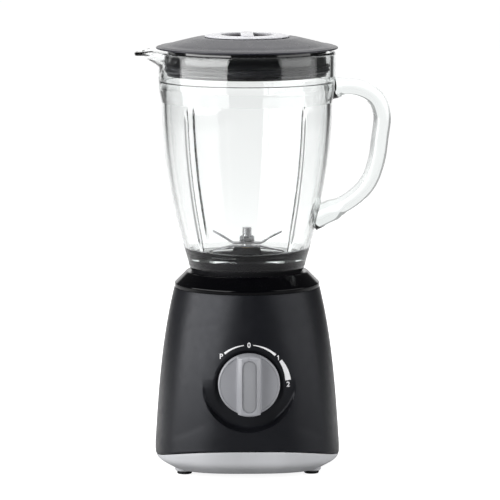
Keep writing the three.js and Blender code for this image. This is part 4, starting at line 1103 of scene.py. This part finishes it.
# ---------- camera, floor and light
look_at = AXIS + Vector((0.0026, 0, 0.19))
azimuth, pitch = math.radians(-1.4), math.radians(7.35)
distance = 3.327  # metres, with a long lens
back = Vector((math.sin(azimuth) * math.cos(pitch), -math.cos(azimuth) * math.cos(pitch), math.sin(pitch)))
camera = placed("camera", bpy.data.cameras.new("camera"))
camera.location = look_at + back * distance
camera.rotation_mode = "QUATERNION"
camera.rotation_quaternion = (-back).to_track_quat("-Z", "Y")
camera.data.sensor_width, camera.data.lens = 36, 275.04
camera.data.clip_end = 100
scene.camera = camera
scene.view_settings.view_transform = "Standard"


def area(name, bearing, distance, height, width, tall, radiance):
    """A panel that faces the object. Bearing in degrees from straight in front, to the right positive;
    the rest in metres."""
    data = bpy.data.lights.new(name, "AREA")
    data.shape, data.size, data.size_y = "RECTANGLE", width, tall
    data.energy = radiance * math.pi * width * tall
    lamp = placed(name, data)
    turn = math.radians(bearing)
    lamp.location = AXIS + Vector((distance * math.sin(turn), -distance * math.cos(turn), height))
    lamp.rotation_mode = "QUATERNION"
    lamp.rotation_quaternion = (AXIS + Vector((0, 0, 0.2)) - lamp.location).to_track_quat("-Z", "Y")
    lamp.visible_camera = False
    return lamp


# the last value is the panel's radiance
area("left_softbox", -62, 1.45, 0.66, 2.26, 1.15, 4.2)
area("right_panel", 72, 1.5, 0.68, 1.74, 1.2, 1.3)
area("rear_top", 180, 1.1, 1.5, 2.0, 1.1, 1.2)
overhead = area("overhead", 180, 0.2, 1.6, 1.4, 1.0, 3.0)
fill = area("front_fill", 50, 2.0, 0.5, 2.0, 1.2, 2.2)
for soft in (overhead, fill):
    soft.visible_glossy = soft.visible_transmission = False


# Cosines from +Y between which the white backdrop begins, for rays that come from the camera by way of gloss
# or glass, and for those that only went through glass: a dimmer one round it and one on the camera's side.
BACKDROP, BESIDE, BEHIND = (0.89, 0.93), (0.60, 0.72), (-0.5, -0.7)


class Stage(Tree):
    """The nodes of the floor or the world."""

    def __init__(self, owner, kind):
        super().__init__(owner)
        self.tree.nodes.clear()
        self.output = self.node(kind)

    def along_y(self, where, start, end, low=0.0, high=1.0):
        """A smooth change with the Y of a place or a direction."""
        return self.spread(self.axis(where, "Y"), low, high, start, end, "SMOOTHSTEP")

    def shown(self, surface, background, direction):
        """Camera rays see the background. Glossy and transmission rays see it where it is shown to them."""
        path = self.node("ShaderNodeLightPath").outputs
        around = self.calc("MAXIMUM", self.along_y(direction, *BEHIND),
                           self.along_y(direction, *BESIDE, 0.0, 0.4))
        bounces = self.calc("ADD", path["Glossy Depth"], path["Diffuse Depth"])
        around = self.calc("MULTIPLY", self.calc("LESS_THAN", bounces, 0.5), around)
        seen = self.calc("MAXIMUM", self.along_y(direction, *BACKDROP), around)
        bent = self.calc("MAXIMUM", path["Is Glossy Ray"], path["Is Transmission Ray"])
        seen = self.calc("MAXIMUM", path["Is Camera Ray"], self.calc("MULTIPLY", bent, seen))
        return self.mix(seen, surface, background)


# The floor lights the object as pale paper, dimmer in front. It looks white by its own light, so that only
# a faint shadow shows, and from below it is clear.
floor_material = bpy.data.materials.new("floor")
ground = Stage(floor_material, "ShaderNodeOutputMaterial")
place = ground.node("ShaderNodeNewGeometry").outputs
paper = ground.node("ShaderNodeBsdfDiffuse")
ground.link(ground.along_y(place["Position"], -0.35, 0.4, 0.3, 0.85), paper.inputs["Color"])
from_object = ground.vector("SUBTRACT", place["Position"], AXIS + Vector((0, 0, 0.25))).outputs[0]
direction = ground.vector("NORMALIZE", from_object).outputs[0]
painted_shadow_distance = ground.vector("LENGTH", from_object).outputs["Value"]
glow = ground.node("ShaderNodeEmission")  # a little weaker close to the object: a painted shadow round it
ground.link(ground.spread(painted_shadow_distance, 0.9, 1.0), glow.inputs["Strength"])
lit = ground.node("ShaderNodeBsdfDiffuse", Color=(0.45, 0.45, 0.45, 1))
both = ground.node("ShaderNodeAddShader")
ground.link(lit.outputs[0], both.inputs[0])
ground.link(glow.outputs[0], both.inputs[1])
clear = ground.node("ShaderNodeBsdfTransparent")
above = ground.shown(paper.outputs[0], both.outputs[0], direction)
ground.link(ground.mix(place["Backfacing"], above, clear.outputs[0]), ground.output.inputs["Surface"])

FLOOR_Z = -0.3  # just under the feet
floor = turned("floor", [(r, FLOOR_Z) for r in (0.01, 400, 2000, 8000)])
if floor.data.polygons[0].normal.z < 0:
    floor.data.flip_normals()
floor.data.materials.append(floor_material)

world = bpy.data.worlds.new("world")
scene.world = world
sky = Stage(world, "ShaderNodeOutputWorld")
studio = sky.node("ShaderNodeBackground", Color=(1, 1, 1, 1), Strength=0.06)
white = sky.node("ShaderNodeBackground", Color=(1, 1, 1, 1))
direction = sky.node("ShaderNodeTexCoord").outputs["Generated"]
sky.link(sky.shown(studio.outputs[0], white.outputs[0], direction), sky.output.inputs["Surface"])
